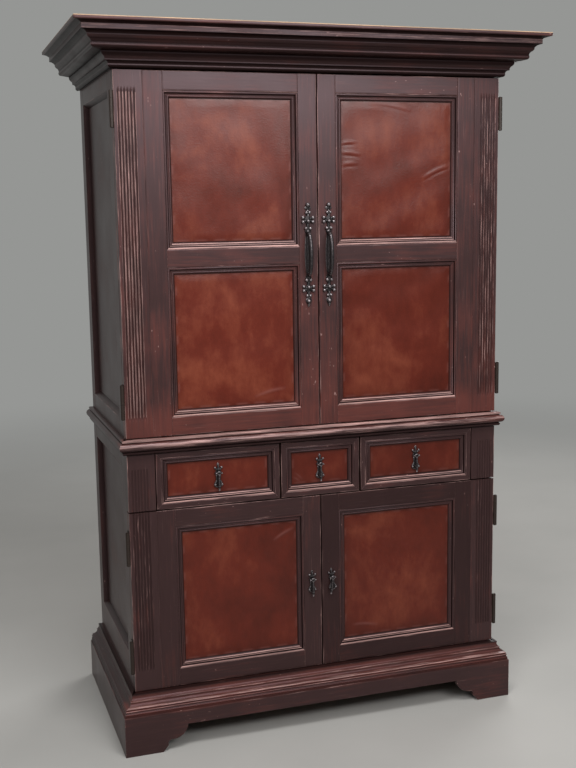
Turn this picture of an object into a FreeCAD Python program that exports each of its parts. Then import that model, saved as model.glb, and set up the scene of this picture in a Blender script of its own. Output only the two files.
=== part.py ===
import FreeCAD, Part
import os

V = FreeCAD.Vector

# All sizes are in millimetres. The fronts face -Y, the floor is z = 0 and x = 0 is the centre line.

# Case
case_width = 1200.0
case_depth = 596.0
board_thickness = 20.0
back_thickness = 12.0
back_board_count = 5
board_joint = 1.0
side_thickness = 26.0
side_front_stile = 66.0
side_rear_stile = 60.0
side_panel_thickness = 10.0
side_bevel_width = 12.0
upper_side_rail = 52.0
lower_side_top_rail = 51.0
lower_side_bottom_rail = 97.0

# Fronts: doors, drawer fronts and end blocks stand flush with one another
front_thickness = 24.0
front_gap = 4.0
hinge_gap = 4.0
door_overlap = 8.0
upper_door_height = 1043.0
lower_door_height = 551.0
drawer_front_height = 170.0
centre_drawer_width = 255.0
drawer_gap = 6.0
pilaster_width = 82.0
stile_width = 57.0
rail_width = 54.0
middle_rail_height = 52.0
lower_panel_height = 437.0
drawer_border = 16.0

# Leather panels and the mouldings round them
moulding_width = 21.0
drawer_moulding_width = 20.0
outer_bead_width = 6.5
outer_bead_rise = 1.5
quirk_depth = 2.5
cove_drop = 1.5
inner_bead_width = 4.5
inner_bead_rise = 1.1
inner_slope_width = 3.5
leather_recess = 10.0
leather_thickness = 3.0
backer_thickness = 8.0

# Flutes of the pilasters
flute_count = 6
flute_radius = 3.4
flute_depth = 2.4
flute_pitch = 9.0
flute_from_edge = 36.0
upper_flute_end = 57.0
lower_flute_end = 64.0
block_flute_start = 46.0

# Base
plinth_height = 124.0
plinth_thickness = 22.0
plinth_ledge = 3.0
base_fillet_reach = 13.0
base_fillet_height = 4.0
base_ogee_reach = 16.0
base_ogee_height = 33.0
base_step_reach = 6.0
base_cove_height = 21.0
base_cove_reach = 5.0
foot_length = 193.0
apron_clear = 78.0
foot_scroll_reach = 49.0
foot_scroll_drop = 42.0
foot_shoulder_reach = 13.0
foot_shoulder_drop = 16.0
foot_toe_reach = 17.0
frame_board_width = 90.0
corner_block_size = 60.0

# Waist moulding
waist_fillet_reach = 12.0
waist_fillet_height = 8.0
waist_nose_reach = 12.0
waist_nose_height = 22.0
waist_foot_height = 13.0

# Cornice members, from the bottom up
neck_reach = 4.0
low_bead_reach = 10.0
low_bead_height = 8.0
low_hollow_reach = 10.0
low_hollow_height = 10.0
low_cyma_reach = 10.0
low_cyma_height = 24.0
soffit_reach = 24.0
soffit_rise = 4.0
high_bead_reach = 8.0
high_bead_height = 12.0
high_cyma_reach = 12.0
high_cyma_height = 22.0
hollow_reach = 17.0
hollow_height = 9.0
fascia_height = 14.0
cove_reach = 17.0
cove_height = 7.0
top_overhang = 5.5
top_board_thickness = 11.0

# Inside
upper_shelf_height = 640.0
lower_shelf_height = 262.0
shelf_setback = 40.0
shelf_clearance = 1.0
cleat_size = 18.0
cable_slot_height = 90.0
catch_length = 44.0
catch_depth = 26.0
catch_height = 12.0
catch_clearance = 1.0

# Drawer boxes
drawer_box_height = 130.0
drawer_box_depth = 470.0
drawer_side_thickness = 12.0
drawer_bottom_thickness = 6.0
drawer_side_clearance = 5.0
runner_width = 22.0
runner_height = 5.0
partition_thickness = 20.0
front_stile_width = 58.0

# Hinges
hinge_height = 100.0
hinge_inset = 57.0
leaf_width = 23.0
leaf_thickness = 1.8
barrel_radius = 6.0
barrel_offset = 6.5
crank_clearance = 0.5
knuckle_count = 5
knuckle_gap = 0.4
hinge_pin_radius = 2.5
pin_clearance = 0.1
pin_head_radius = 4.5
pin_head_height = 1.5

# Drop pulls
plate_radius = 16.0
plate_thickness = 3.0
plate_ear_radius = 5.0
plate_crest_height = 14.0
plate_crest_radius = 4.0
plate_crest_tip = 1.0
lug_width = 3.5
lug_height = 9.0
drop_standoff = 10.0
drop_length = 50.0
drop_belly_radius = 7.0
drop_neck_radius = 2.2
drop_tip_radius = 3.2
drop_tip_sink = 1.4
drop_taper_inset = 0.3
drop_eye_radius = 4.2
drop_eye_width = 7.0
drop_side_clearance = 0.5
drop_pin_radius = 1.5
drop_pin_clearance = 0.08

# Long pulls of the upper doors
pull_length = 304.0
pull_from_centre = 33.0
pull_below_top = 524.0
pull_strip_width = 14.0
pull_strip_thickness = 3.0
grip_length = 126.0
grip_end_depth = 7.0
grip_reach = 34.0
grip_radius = 5.5
cluster_radius = 12.0
petal_radius = 7.0
petal_offset = 14.3
collar_radius = 9.0
collar_offset = 17.4
bead_radius = 6.0
bead_offset = 12.6
finial_length = 21.0
finial_radius = 7.0
finial_tip_radius = 1.75

# Curves of the mouldings and feet: how far each arc bows from its chord
low_bead_bow = 4.1
high_bead_bow = 4.6
low_cyma_bow = 2.0
high_cyma_bow = 1.9
hollow_bow = 2.3
low_hollow_bow = 3.5
cove_bow = 1.6
base_cove_bow = 2.6
base_ogee_bow = 5.9
scroll_bow = 12.9
shoulder_bow = 6.2

# Ends of a line closer than this are one point
same_point = 0.001

# Levels
half = case_width / 2
inner_half = half - side_thickness
plinth_reach = base_fillet_reach + base_ogee_reach + base_step_reach + base_cove_reach + plinth_ledge
z_base_top = plinth_height + base_cove_height + base_ogee_height + base_fillet_height
z_lower_door = z_base_top + front_gap
z_lower_door_top = z_lower_door + lower_door_height
z_drawer = z_lower_door_top + front_gap
z_drawer_top = z_drawer + drawer_front_height
z_waist = z_drawer_top + front_gap
z_waist_top = z_waist + waist_foot_height + waist_nose_height + waist_fillet_height
z_split = (z_waist + z_waist_top) / 2
z_upper_door = z_waist_top + front_gap
z_upper_door_top = z_upper_door + upper_door_height
z_cornice = z_upper_door_top + front_gap
low_tier_height = low_bead_height + low_hollow_height + low_cyma_height + soffit_rise
high_tier_height = high_bead_height + high_cyma_height + hollow_height + fascia_height + cove_height
z_top_board = z_cornice + low_tier_height + high_tier_height
z_top = z_top_board + top_board_thickness
low_tier_reach = neck_reach + low_bead_reach + low_hollow_reach + low_cyma_reach + soffit_reach
high_tier_reach = high_bead_reach + high_cyma_reach + hollow_reach + cove_reach
cornice_reach = low_tier_reach + high_tier_reach + top_overhang
front_stack = front_thickness + hinge_gap
y_back = (cornice_reach + front_stack + case_depth) / 2
y_case = y_back - case_depth
y_door_back = y_case - hinge_gap
y_front = y_door_back - front_thickness
y_inside_back = y_back - back_thickness
z_bottom_board = z_lower_door + door_overlap
z_drawer_board = z_lower_door_top + front_gap / 2 + board_thickness / 2
z_lower_top = z_split - board_thickness
z_upper_floor = z_upper_door + door_overlap
z_upper_ceiling = z_upper_door_top - door_overlap
partition_centre = (centre_drawer_width + drawer_gap) / 2
barrel_x = half + barrel_offset
barrel_y = y_front
door_crank = half + crank_clearance
case_crank = door_crank + knuckle_gap
mitre_span = 2 * cornice_reach


def box(x0, x1, y0, y1, z0, z1):
    """Board between two corners, given in any order along x."""
    low = min(x0, x1)
    return Part.makeBox(abs(x1 - x0), y1 - y0, z1 - z0, V(low, y0, z0))


def prism(corners, direction):
    """Straight solid on a flat polygon."""
    return Part.Face(Part.makePolygon(corners + corners[:1])).extrude(direction)


def save(name, solids):
    """Writes one node; a list of solids becomes one compound."""
    shape = solids[0] if len(solids) == 1 else Part.makeCompound(solids)
    shape.exportStep("parts/" + name + ".step")


def outline(start, moves, place):
    """Edges from a start point through moves of (across, up, bow); a bow bends the move into an arc."""
    edges = []
    across, up = start
    for step_across, step_up, bow in moves:
        first = place(across, up)
        last = place(across + step_across, up + step_up)
        if bow:
            share = bow / last.distanceToPoint(first)
            middle_across = across + step_across / 2 + share * step_up
            middle_up = up + step_up / 2 - share * step_across
            edges.append(Part.Arc(first, place(middle_across, middle_up), last).toShape())
        else:
            edges.append(Part.makeLine(first, last))
        across += step_across
        up += step_up
    return edges, (across, up)


def closed_face(edges, corners):
    """Flat face bounded by edges and by straight lines through the corners."""
    for first, last in zip(corners, corners[1:]):
        if first.distanceToPoint(last) > same_point:
            edges.append(Part.makeLine(first, last))
    return Part.Face(Part.Wire(edges))


def section(start, moves, back, place):
    """Moulding section closed against a straight back."""
    edges, end = outline(start, moves, place)
    return closed_face(edges, [place(*end), place(back, end[1]), place(back, start[1]), place(*start)])


def wrap_moulding(z, start, moves):
    """Moulding across the front and back along both sides, mitred at the front corners."""
    far = half + mitre_span
    ahead = y_front - mitre_span
    face = section(start, moves, -front_stack, lambda reach, up: V(-far, y_front - reach, z + up))
    left = [(-half, y_case), (-half, y_front), (-far, ahead)]
    corners = left + [(-x, y) for x, y in reversed(left)]
    mitre = prism([V(x, y, 0) for x, y in corners], V(0, 0, z_top))
    pieces = [face.extrude(V(2 * far, 0, 0)).common(mitre).Solids[0]]
    for side in (-1, 1):
        face = section(start, moves, 0, lambda reach, up: V(side * (half + reach), ahead, z + up))
        corners = [(half, y_front), (far, ahead), (far, y_back), (half, y_back)]
        mitre = prism([V(side * x, y, 0) for x, y in corners], V(0, 0, z_top))
        pieces.append(face.extrude(V(0, y_back - ahead, 0)).common(mitre).Solids[0])
    return pieces


def mitred_frame(span, rise, width, start, moves, depth, place):
    """Four mitred bars lining a rectangle; place maps (along, up, depth) to a point."""
    a0, a1 = span
    b0, b1 = rise
    origin = place(0, 0, 0)
    into = place(0, 0, 1) - origin
    along = (place(1, 0, 0) - origin) * (a1 - a0)
    up = (place(0, 1, 0) - origin) * (b1 - b0)
    outer = [(a0, b0), (a1, b0), (a1, b1), (a0, b1)]
    inner = [(a0 + width, b0 + width), (a1 - width, b0 + width)]
    inner += [(a1 - width, b1 - width), (a0 + width, b1 - width)]
    bars = (
        (lambda w, d: place(a0, b0 + w, d), along),
        (lambda w, d: place(a1 - w, b0, d), up),
        (lambda w, d: place(a0, b1 - w, d), along),
        (lambda w, d: place(a0 + w, b0, d), up),
    )
    solids = []
    for index, (bar_place, run) in enumerate(bars):
        edges, end = outline(start, moves, bar_place)
        ring = [bar_place(*end), bar_place(end[0], depth), bar_place(0, depth), bar_place(*start)]
        bar = closed_face(edges, ring).extrude(run)
        following = (index + 1) % len(bars)
        corners = [outer[index], outer[following], inner[following], inner[index]]
        mitre = prism([place(a, b, -depth) for a, b in corners], into * (3 * depth))
        solids.append(bar.common(mitre).Solids[0])
    return solids


def on_front(x, z, depth):
    """Point measured back from the plane of the fronts."""
    return V(x, y_front + depth, z)


def panel_moulding(x0, x1, z0, z1, width):
    """Beaded moulding round one leather panel."""
    cove_width = width - outer_bead_width - inner_bead_width - inner_slope_width
    slope_drop = leather_recess - outer_bead_rise - quirk_depth - cove_drop
    moves = [
        (outer_bead_width, 0, outer_bead_rise),
        (0, quirk_depth, 0),
        (cove_width, cove_drop, 0),
        (inner_bead_width, 0, inner_bead_rise),
        (inner_slope_width, slope_drop, 0),
    ]
    start = (0, outer_bead_rise)
    return mitred_frame((x0, x1), (z0, z1), width, start, moves, leather_recess, on_front)


def leather_panel(x0, x1, z0, z1):
    """Leather held behind the moulding over the whole opening."""
    front = y_front + leather_recess
    return box(x0, x1, front, front + leather_thickness, z0, z1)


def backer_board(x0, x1, z0, z1):
    """Thin board that carries the leather."""
    front = y_front + leather_recess + leather_thickness
    return box(x0, x1, front, front + backer_thickness, z0, z1)


def flutes(side, z0, z1):
    """Round-ended grooves to cut from a pilaster."""
    solids = []
    first = half - flute_from_edge - flute_pitch * (flute_count - 1) / 2
    y = y_front - flute_radius + flute_depth
    for index in range(flute_count):
        x = side * (first + index * flute_pitch)
        solids.append(Part.makeCylinder(flute_radius, z1 - z0, V(x, y, z0)))
        solids.append(Part.makeSphere(flute_radius, V(x, y, z0)))
        solids.append(Part.makeSphere(flute_radius, V(x, y, z1)))
    return solids


def fluted_board(side, y1, z0, z1, groove0, groove1):
    """Outer upright board with its flutes."""
    board = box(side * (half - pilaster_width), side * half, y_front, y1, z0, z1)
    for groove in flutes(side, groove0, groove1):
        board = board.cut(groove)
    return board.Solids[0]


def door_frame(side, z0, z1, panels, groove0, groove1):
    """Pilaster, stiles, rails and backer boards of one door."""
    meet = front_gap / 2
    inner = meet + stile_width
    outer = half - pilaster_width - stile_width
    solids = [fluted_board(side, y_door_back, z0, z1, groove0, groove1)]
    solids.append(box(side * outer, side * (half - pilaster_width), y_front, y_door_back, z0, z1))
    solids.append(box(side * meet, side * inner, y_front, y_door_back, z0, z1))
    edges = [z0] + [z for panel in panels for z in panel] + [z1]
    for bottom, top in zip(edges[0::2], edges[1::2]):
        solids.append(box(side * inner, side * outer, y_front, y_door_back, bottom, top))
    for bottom, top in panels:
        solids.append(backer_board(side * inner, side * outer, bottom, top))
    return solids


def build_door(side, name, z0, z1, panels, groove0, groove1):
    """Frame, mouldings, leather and hinge leaves of one door."""
    xs = sorted((side * (front_gap / 2 + stile_width), side * (half - pilaster_width - stile_width)))
    save(name + "_frame", door_frame(side, z0, z1, panels, groove0, groove1))
    bars = [bar for b, t in panels for bar in panel_moulding(xs[0], xs[1], b, t, moulding_width)]
    save(name + "_mouldings", bars)
    save(name + "_leather", [leather_panel(xs[0], xs[1], b, t) for b, t in panels])
    save(name + "_hinge_leaves", [solid for z in hinge_bottoms(z0, z1) for solid in door_leaf(side, z)])


def hinge_bottoms(z0, z1):
    """Lower ends of the two hinges of a door."""
    return (z0 + hinge_inset, z1 - hinge_inset - hinge_height)


def knuckles(side, z, picked, crank, y1, bore):
    """Barrel lengths of one leaf at the front corner, each on a web that passes the door's edge."""
    pitch = hinge_height / knuckle_count
    solids = []
    for index in picked:
        low = z + index * pitch + knuckle_gap / 2
        length = pitch - knuckle_gap
        barrel = Part.makeCylinder(barrel_radius, length, V(side * barrel_x, barrel_y, low))
        web = box(side * crank, side * (crank + leaf_thickness), barrel_y, y1, low, low + length)
        hole = Part.makeCylinder(bore, length, V(side * barrel_x, barrel_y, low))
        solids.append(barrel.fuse(web).cut(hole).removeSplitter().Solids[0])
    return solids


def case_leaf(side, z):
    """Leaf on the case with the odd knuckles."""
    y0 = y_case - leaf_thickness
    leaf = box(side * (half - leaf_width), side * case_crank, y0, y_case, z, z + hinge_height)
    return [leaf] + knuckles(side, z, range(0, knuckle_count, 2), case_crank, y_case, hinge_pin_radius)


def door_leaf(side, z):
    """Leaf on the back of the door with the even knuckles."""
    y1 = y_door_back + leaf_thickness
    leaf = box(side * (half - leaf_width), side * door_crank, y_door_back, y1, z, z + hinge_height)
    return [leaf] + knuckles(side, z, range(1, knuckle_count, 2), door_crank, y1, hinge_pin_radius + pin_clearance)


def hinge_pin(side, z):
    """Pin with a low flat head at each end."""
    foot = V(side * barrel_x, barrel_y, z)
    pin = Part.makeCylinder(hinge_pin_radius, hinge_height, foot)
    for rise in (-pin_head_height, hinge_height):
        pin = pin.fuse(Part.makeCylinder(pin_head_radius, pin_head_height, foot + V(0, 0, rise)))
    return pin.removeSplitter().Solids[0]


def drop_plate(x, y, z):
    """Small back plate with ears, a crest, two lugs and the cross pin; z is the pin's height."""
    face = y - plate_thickness
    middle = y - plate_thickness / 2
    pin_y = face - drop_standoff
    near = drop_eye_width / 2 + drop_side_clearance
    disc = Part.makeCylinder(plate_radius, plate_thickness, V(x, y, z), V(0, -1, 0))
    rim = Part.makeTorus(plate_radius - plate_thickness / 2, plate_thickness / 2, V(x, face, z), V(0, -1, 0))
    pieces = [rim]
    for sign in (-1, 1):
        pieces.append(Part.makeSphere(plate_ear_radius, V(x + sign * plate_radius, middle, z)))
        pieces.append(Part.makeSphere(plate_ear_radius, V(x, middle, z + sign * plate_radius)))
        pieces.append(box(x + sign * near, x + sign * (near + lug_width), pin_y - lug_height / 2, y,
                          z - lug_height / 2, z + lug_height / 2))
    crest = V(x, middle, z + plate_radius)
    pieces.append(Part.makeCone(plate_crest_radius, plate_crest_tip, plate_crest_height, crest))
    reach = near + lug_width / 2
    pieces.append(Part.makeCylinder(drop_pin_radius, 2 * reach, V(x - reach, pin_y, z), V(1, 0, 0)))
    room = plate_radius + plate_crest_height + plate_ear_radius
    behind = box(x - room, x + room, y, y + room, z - room, z + room)
    return disc.multiFuse(pieces).cut(behind).removeSplitter().Solids[0]


def drop(x, y, z):
    """Hanging drop with its eye on the cross pin: a tapering neck, a round belly and a tip ball."""
    axis = V(x, y - drop_standoff - plate_thickness, z)
    tip = axis - V(0, 0, drop_length - drop_tip_radius)
    belly = tip + V(0, 0, drop_tip_radius + drop_belly_radius - drop_tip_sink)
    taper = (axis - belly).Length
    pieces = [
        Part.makeSphere(drop_tip_radius, tip),
        Part.makeSphere(drop_belly_radius, belly),
        Part.makeCone(drop_belly_radius - drop_taper_inset, drop_neck_radius, taper, belly),
    ]
    side = axis - V(drop_eye_width / 2, 0, 0)
    eye = Part.makeCylinder(drop_eye_radius, drop_eye_width, side, V(1, 0, 0))
    bore = Part.makeCylinder(drop_pin_radius + drop_pin_clearance, drop_eye_width, side, V(1, 0, 0))
    return eye.multiFuse(pieces).cut(bore).removeSplitter().Solids[0]


def long_pull(side):
    """Fixed iron pull: strip, bowed grip, flower clusters, collars and finials."""
    x = side * pull_from_centre
    z = z_upper_door_top - pull_below_top
    reach = pull_length / 2
    strip_reach = reach - finial_length
    strip = box(x - pull_strip_width / 2, x + pull_strip_width / 2, y_front - pull_strip_thickness, y_front,
                z - strip_reach, z + strip_reach)
    ends = [V(x, y_front - grip_end_depth, z + sign * grip_length / 2) for sign in (-1, 1)]
    path = Part.Arc(ends[0], V(x, y_front - grip_reach + grip_radius, z), ends[1]).toShape()
    ring = Part.Wire(Part.makeCircle(grip_radius, ends[0], path.tangentAt(path.FirstParameter)))
    pieces = [Part.Wire(path).makePipeShell([ring], True, False)]
    for sign in (-1, 1):
        spot = z + sign * (grip_length / 2 + cluster_radius)
        pieces.append(Part.makeSphere(cluster_radius, V(x, y_front, spot)))
        for across in (-1, 1):
            pieces.append(Part.makeSphere(petal_radius, V(x + across * petal_offset, y_front, spot)))
        spot += sign * collar_offset
        pieces.append(Part.makeSphere(collar_radius, V(x, y_front - pull_strip_thickness, spot)))
        spot += sign * bead_offset
        pieces.append(Part.makeSphere(bead_radius, V(x, y_front - pull_strip_thickness, spot)))
        length = reach - abs(spot - z)
        foot = V(x, y_front, spot)
        pieces.append(Part.makeCone(finial_radius, finial_tip_radius, length, foot, V(0, 0, sign)))
    behind = box(x - reach, x + reach, y_front, y_front + reach, z - 2 * reach, z + 2 * reach)
    return strip.multiFuse(pieces).cut(behind).removeSplitter().Solids[0]


def build_base():
    """Front board on scrolled feet, side boards, inner frame and base moulding."""
    outer = half + plinth_reach
    y0 = y_front - plinth_reach
    y1 = y0 + plinth_thickness
    # The foot's inner outline runs from the apron down a hollow scroll, over a shoulder and down the toe.
    toe = outer - foot_length + foot_scroll_reach + foot_shoulder_reach + foot_toe_reach
    moves = [
        (foot_scroll_reach, -foot_scroll_drop, scroll_bow),
        (foot_shoulder_reach, -foot_shoulder_drop, -shoulder_bow),
        (foot_toe_reach, -(apron_clear - foot_scroll_drop - foot_shoulder_drop), 0),
    ]
    start = (outer - foot_length, apron_clear)
    edges = outline(start, moves, lambda x, z: V(x, y0, z))[0]
    edges += outline(start, moves, lambda x, z: V(-x, y0, z))[0]
    ring = [V(toe, y0, 0), V(outer, y0, 0), V(outer, y0, plinth_height), V(-outer, y0, plinth_height)]
    ring += [V(-outer, y0, 0), V(-toe, y0, 0)]
    edges += [Part.makeLine(a, b) for a, b in zip(ring, ring[1:])]
    edges.append(Part.makeLine(V(-start[0], y0, start[1]), V(start[0], y0, start[1])))
    face = Part.Face(Part.Wire(Part.__sortEdges__(edges)))
    save("base_front_board", [face.extrude(V(0, plinth_thickness, 0))])
    sides = [box(s * (outer - plinth_thickness), s * outer, y1, y_back, 0, plinth_height) for s in (-1, 1)]
    save("base_side_boards", sides)

    inside = outer - plinth_thickness
    low = plinth_height - board_thickness
    inner = inside - frame_board_width
    solids = [box(-inside, inside, y1, y1 + frame_board_width, low, plinth_height)]
    solids.append(box(-inside, inside, y_back - frame_board_width, y_back, low, plinth_height))
    for side in (-1, 1):
        solids.append(box(side * inner, side * inside, y1 + frame_board_width, y_back - frame_board_width,
                          low, plinth_height))
        for y in (y1, y_back - plinth_thickness - corner_block_size):
            x = side * (inside - corner_block_size)
            solids.append(box(x, side * inside, y, y + corner_block_size, 0, low))
    solids.append(box(-inside, inside, y_back - plinth_thickness, y_back, 0, low))
    save("base_inner_frame", solids)

    moves = [
        (-base_cove_reach, base_cove_height, base_cove_bow),
        (-base_step_reach, 0, 0),
        (-base_ogee_reach, base_ogee_height, -base_ogee_bow),
        (0, base_fillet_height, 0),
    ]
    save("base_moulding", wrap_moulding(plinth_height, (plinth_reach - plinth_ledge, 0), moves))


def side_frames(z0, z1, panel0, panel1):
    """Stiles, rails and bevels of both sides of one case."""
    y0 = y_case + side_front_stile
    y1 = y_back - side_rear_stile
    recess = side_thickness - side_panel_thickness
    frames = []
    panels = []
    for side in (-1, 1):
        frames.append(box(side * inner_half, side * half, y_case, y0, z0, z1))
        frames.append(box(side * inner_half, side * half, y1, y_back, z0, z1))
        frames.append(box(side * inner_half, side * half, y0, y1, z0, panel0))
        frames.append(box(side * inner_half, side * half, y0, y1, panel1, z1))
        place = lambda y, z, depth: V(side * (half - depth), y, z)
        moves = [(side_bevel_width, recess, 0)]
        frames += mitred_frame((y0, y1), (panel0, panel1), side_bevel_width, (0, 0), moves, recess, place)
        panels.append(box(side * inner_half, side * (half - recess), y0, y1, panel0, panel1))
    return frames, panels


def back_boards(z0, z1, slot_height):
    """Upright boards closing a case; the middle one leaves a slot at its foot."""
    pitch = 2 * inner_half / back_board_count
    solids = []
    for index in range(back_board_count):
        x = -inner_half + index * pitch
        low = z0 + slot_height if index == back_board_count // 2 else z0
        solids.append(box(x + board_joint / 2, x + pitch - board_joint / 2, y_inside_back, y_back, low, z1))
    return solids


def shelf_and_cleats(z):
    """Shelf on two side cleats; z is the shelf's underside."""
    x = inner_half - shelf_clearance
    y0 = y_case + shelf_setback
    shelf = box(-x, x, y0, y_inside_back, z, z + board_thickness)
    cleats = []
    for side in (-1, 1):
        x = side * (inner_half - cleat_size)
        cleats.append(box(x, side * inner_half, y0, y_inside_back, z - cleat_size, z))
    return shelf, cleats


def build_cases():
    """Side frames, boards, backs, shelves and catches of both cases."""
    frames, panels = side_frames(plinth_height, z_split, z_base_top + lower_side_bottom_rail,
                                 z_waist - lower_side_top_rail)
    save("lower_side_frames", frames)
    save("lower_side_panels", panels)
    frames, panels = side_frames(z_split, z_top_board, z_waist_top + upper_side_rail,
                                 z_cornice - upper_side_rail)
    save("upper_side_frames", frames)
    save("upper_side_panels", panels)

    lower_tops = (z_bottom_board, z_drawer_board, z_split)
    save("lower_case_boards", [box(-inner_half, inner_half, y_case, y_inside_back, z - board_thickness, z)
                               for z in lower_tops])
    floor = box(-inner_half, inner_half, y_case, y_inside_back, z_split, z_upper_floor)
    ceiling = box(-inner_half, inner_half, y_case, y_inside_back, z_upper_ceiling,
                  z_upper_ceiling + board_thickness)
    save("upper_case_boards", [floor, ceiling])
    save("lower_back_boards", back_boards(plinth_height, z_split, 0))
    slot = z_upper_floor - z_split + cable_slot_height
    save("upper_back_boards", back_boards(z_split, z_top_board, slot))

    lower_shelf, lower_cleats = shelf_and_cleats(z_bottom_board + lower_shelf_height)
    upper_shelf, upper_cleats = shelf_and_cleats(z_upper_floor + upper_shelf_height)
    save("shelves", [lower_shelf, upper_shelf])
    save("shelf_cleats", lower_cleats + upper_cleats)

    catches = []
    y = y_door_back + catch_clearance
    for ceiling in (z_drawer_board - board_thickness, z_upper_ceiling):
        for side in (-1, 1):
            x = side * (front_gap / 2 + stile_width)
            far_x = x - side * catch_length
            catches.append(box(x, far_x, y, y + catch_depth, ceiling - catch_height, ceiling))
    save("door_catches", catches)


def build_drawer_row():
    """End blocks, inner stiles, partitions and runners of the drawer row."""
    blocks = []
    for side in (-1, 1):
        blocks.append(fluted_board(side, y_case, z_drawer, z_drawer_top,
                                   z_drawer - 2 * flute_radius, z_drawer_top - block_flute_start))
    save("drawer_end_blocks", blocks)
    solids = []
    for side in (-1, 1):
        solids.append(box(side * (inner_half - front_stile_width), side * inner_half, y_case,
                          y_inside_back, z_drawer_board, z_lower_top))
        x = side * partition_centre
        solids.append(box(x - partition_thickness / 2, x + partition_thickness / 2, y_case, y_inside_back,
                          z_drawer_board, z_lower_top))
    save("drawer_partitions", solids)
    runners = []
    for left, right in drawer_bays():
        for x in (left, right - runner_width):
            runners.append(box(x, x + runner_width, y_case, y_inside_back, z_drawer_board,
                               z_drawer_board + runner_height))
    save("drawer_runners", runners)


def drawer_bays():
    """Clear widths between the partitions, from left to right."""
    inner = partition_centre - partition_thickness / 2
    outer = partition_centre + partition_thickness / 2
    wall = inner_half - front_stile_width
    return ((-wall, -outer), (-inner, inner), (outer, wall))


def drawer_fronts():
    """Left and right edges of the drawer fronts, from left to right."""
    middle = centre_drawer_width / 2
    end = half - pilaster_width - drawer_gap / 2
    return ((-end, -middle - drawer_gap), (-middle, middle), (middle + drawer_gap, end))


def build_drawer(name, front, bay):
    """Framed front, leather, box and pull of one drawer."""
    x0, x1 = front
    z0, z1 = z_drawer, z_drawer_top
    a0, a1 = x0 + drawer_border, x1 - drawer_border
    b0, b1 = z0 + drawer_border, z1 - drawer_border
    solids = [
        box(x0, a0, y_front, y_door_back, z0, z1),
        box(a1, x1, y_front, y_door_back, z0, z1),
        box(a0, a1, y_front, y_door_back, z0, b0),
        box(a0, a1, y_front, y_door_back, b1, z1),
        backer_board(a0, a1, b0, b1),
    ]
    save(name + "_front", solids + panel_moulding(a0, a1, b0, b1, drawer_moulding_width))
    save(name + "_leather", [leather_panel(a0, a1, b0, b1)])

    left, right = bay[0] + drawer_side_clearance, bay[1] - drawer_side_clearance
    low = z_drawer_board + runner_height
    high = low + drawer_box_height
    end = y_door_back + drawer_box_depth
    side = drawer_side_thickness
    floor = low + drawer_bottom_thickness
    solids = [
        box(left, left + side, y_door_back, end, low, high),
        box(right - side, right, y_door_back, end, low, high),
        box(left + side, right - side, y_door_back, y_door_back + side, low, high),
        box(left + side, right - side, end - side, end, low, high),
        box(left + side, right - side, y_door_back + side, end - side, low, floor),
    ]
    save(name + "_box", solids)
    pin_x, pin_y, pin_z = (x0 + x1) / 2, y_front + leather_recess, drop_pin_height(z0, z1)
    save(name + "_pull_plate", [drop_plate(pin_x, pin_y, pin_z)])
    save(name + "_drop", [drop(pin_x, pin_y, pin_z)])


def drop_pin_height(z0, z1):
    """Pin height that centres plate and drop between two levels."""
    above = plate_radius + plate_crest_height
    return (z0 + z1) / 2 + (drop_length - above) / 2


def build_waist():
    """Moulding that covers the joint between the two cases."""
    moves = [
        (0, waist_foot_height, 0),
        (0, waist_nose_height, waist_nose_reach),
        (0, waist_fillet_height, 0),
    ]
    save("waist_moulding", wrap_moulding(z_waist, (waist_fillet_reach, 0), moves))


def build_cornice():
    """Two-tier crown and the board on top of it."""
    moves = [
        (low_bead_reach, low_bead_height, low_bead_bow),
        (low_hollow_reach, low_hollow_height, -low_hollow_bow),
        (low_cyma_reach / 2, low_cyma_height / 2, -low_cyma_bow),
        (low_cyma_reach / 2, low_cyma_height / 2, low_cyma_bow),
        (soffit_reach, soffit_rise, 0),
        (high_bead_reach, high_bead_height, high_bead_bow),
        (high_cyma_reach / 2, high_cyma_height / 2, -high_cyma_bow),
        (high_cyma_reach / 2, high_cyma_height / 2, high_cyma_bow),
        (hollow_reach, hollow_height, -hollow_bow),
        (0, fascia_height, 0),
        (cove_reach, cove_height, -cove_bow),
    ]
    save("cornice_moulding", wrap_moulding(z_cornice, (neck_reach, 0), moves))
    edge = half + cornice_reach
    save("cornice_top_board", [box(-edge, edge, y_front - cornice_reach, y_back, z_top_board, z_top)])


def build_hinges():
    """Case leaves and pins of all eight hinges."""
    solids = []
    for side in (-1, 1):
        for z0, z1 in ((z_lower_door, z_lower_door_top), (z_upper_door, z_upper_door_top)):
            for z in hinge_bottoms(z0, z1):
                solids += case_leaf(side, z) + [hinge_pin(side, z)]
    save("case_hinge_leaves", solids)


def build_doors():
    """Four doors with their pulls."""
    upper_first = (z_upper_door + rail_width, z_upper_door + rail_width + lower_panel_height)
    upper_second = (upper_first[1] + middle_rail_height, z_upper_door_top - rail_width)
    lower_panel = (z_lower_door + rail_width, z_lower_door_top - rail_width)
    for side, word in ((-1, "left"), (1, "right")):
        name = "upper_" + word + "_door"
        build_door(side, name, z_upper_door, z_upper_door_top, [upper_first, upper_second],
                   z_upper_door + upper_flute_end, z_upper_door_top - upper_flute_end)
        save(name + "_pull", [long_pull(side)])
        name = "lower_" + word + "_door"
        build_door(side, name, z_lower_door, z_lower_door_top, [lower_panel],
                   z_lower_door + lower_flute_end, z_lower_door_top + 2 * flute_radius)
        x = side * pull_from_centre
        z = drop_pin_height(z_lower_door, z_lower_door_top)
        save(name + "_pull_plate", [drop_plate(x, y_front, z)])
        save(name + "_drop", [drop(x, y_front, z)])


os.makedirs("parts", exist_ok=True)
build_base()
build_cases()
build_drawer_row()
drawer_names = ("left_drawer", "centre_drawer", "right_drawer")
for drawer, front, bay in zip(drawer_names, drawer_fronts(), drawer_bays()):
    build_drawer(drawer, front, bay)
build_waist()
build_cornice()
build_hinges()
build_doors()
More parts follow.
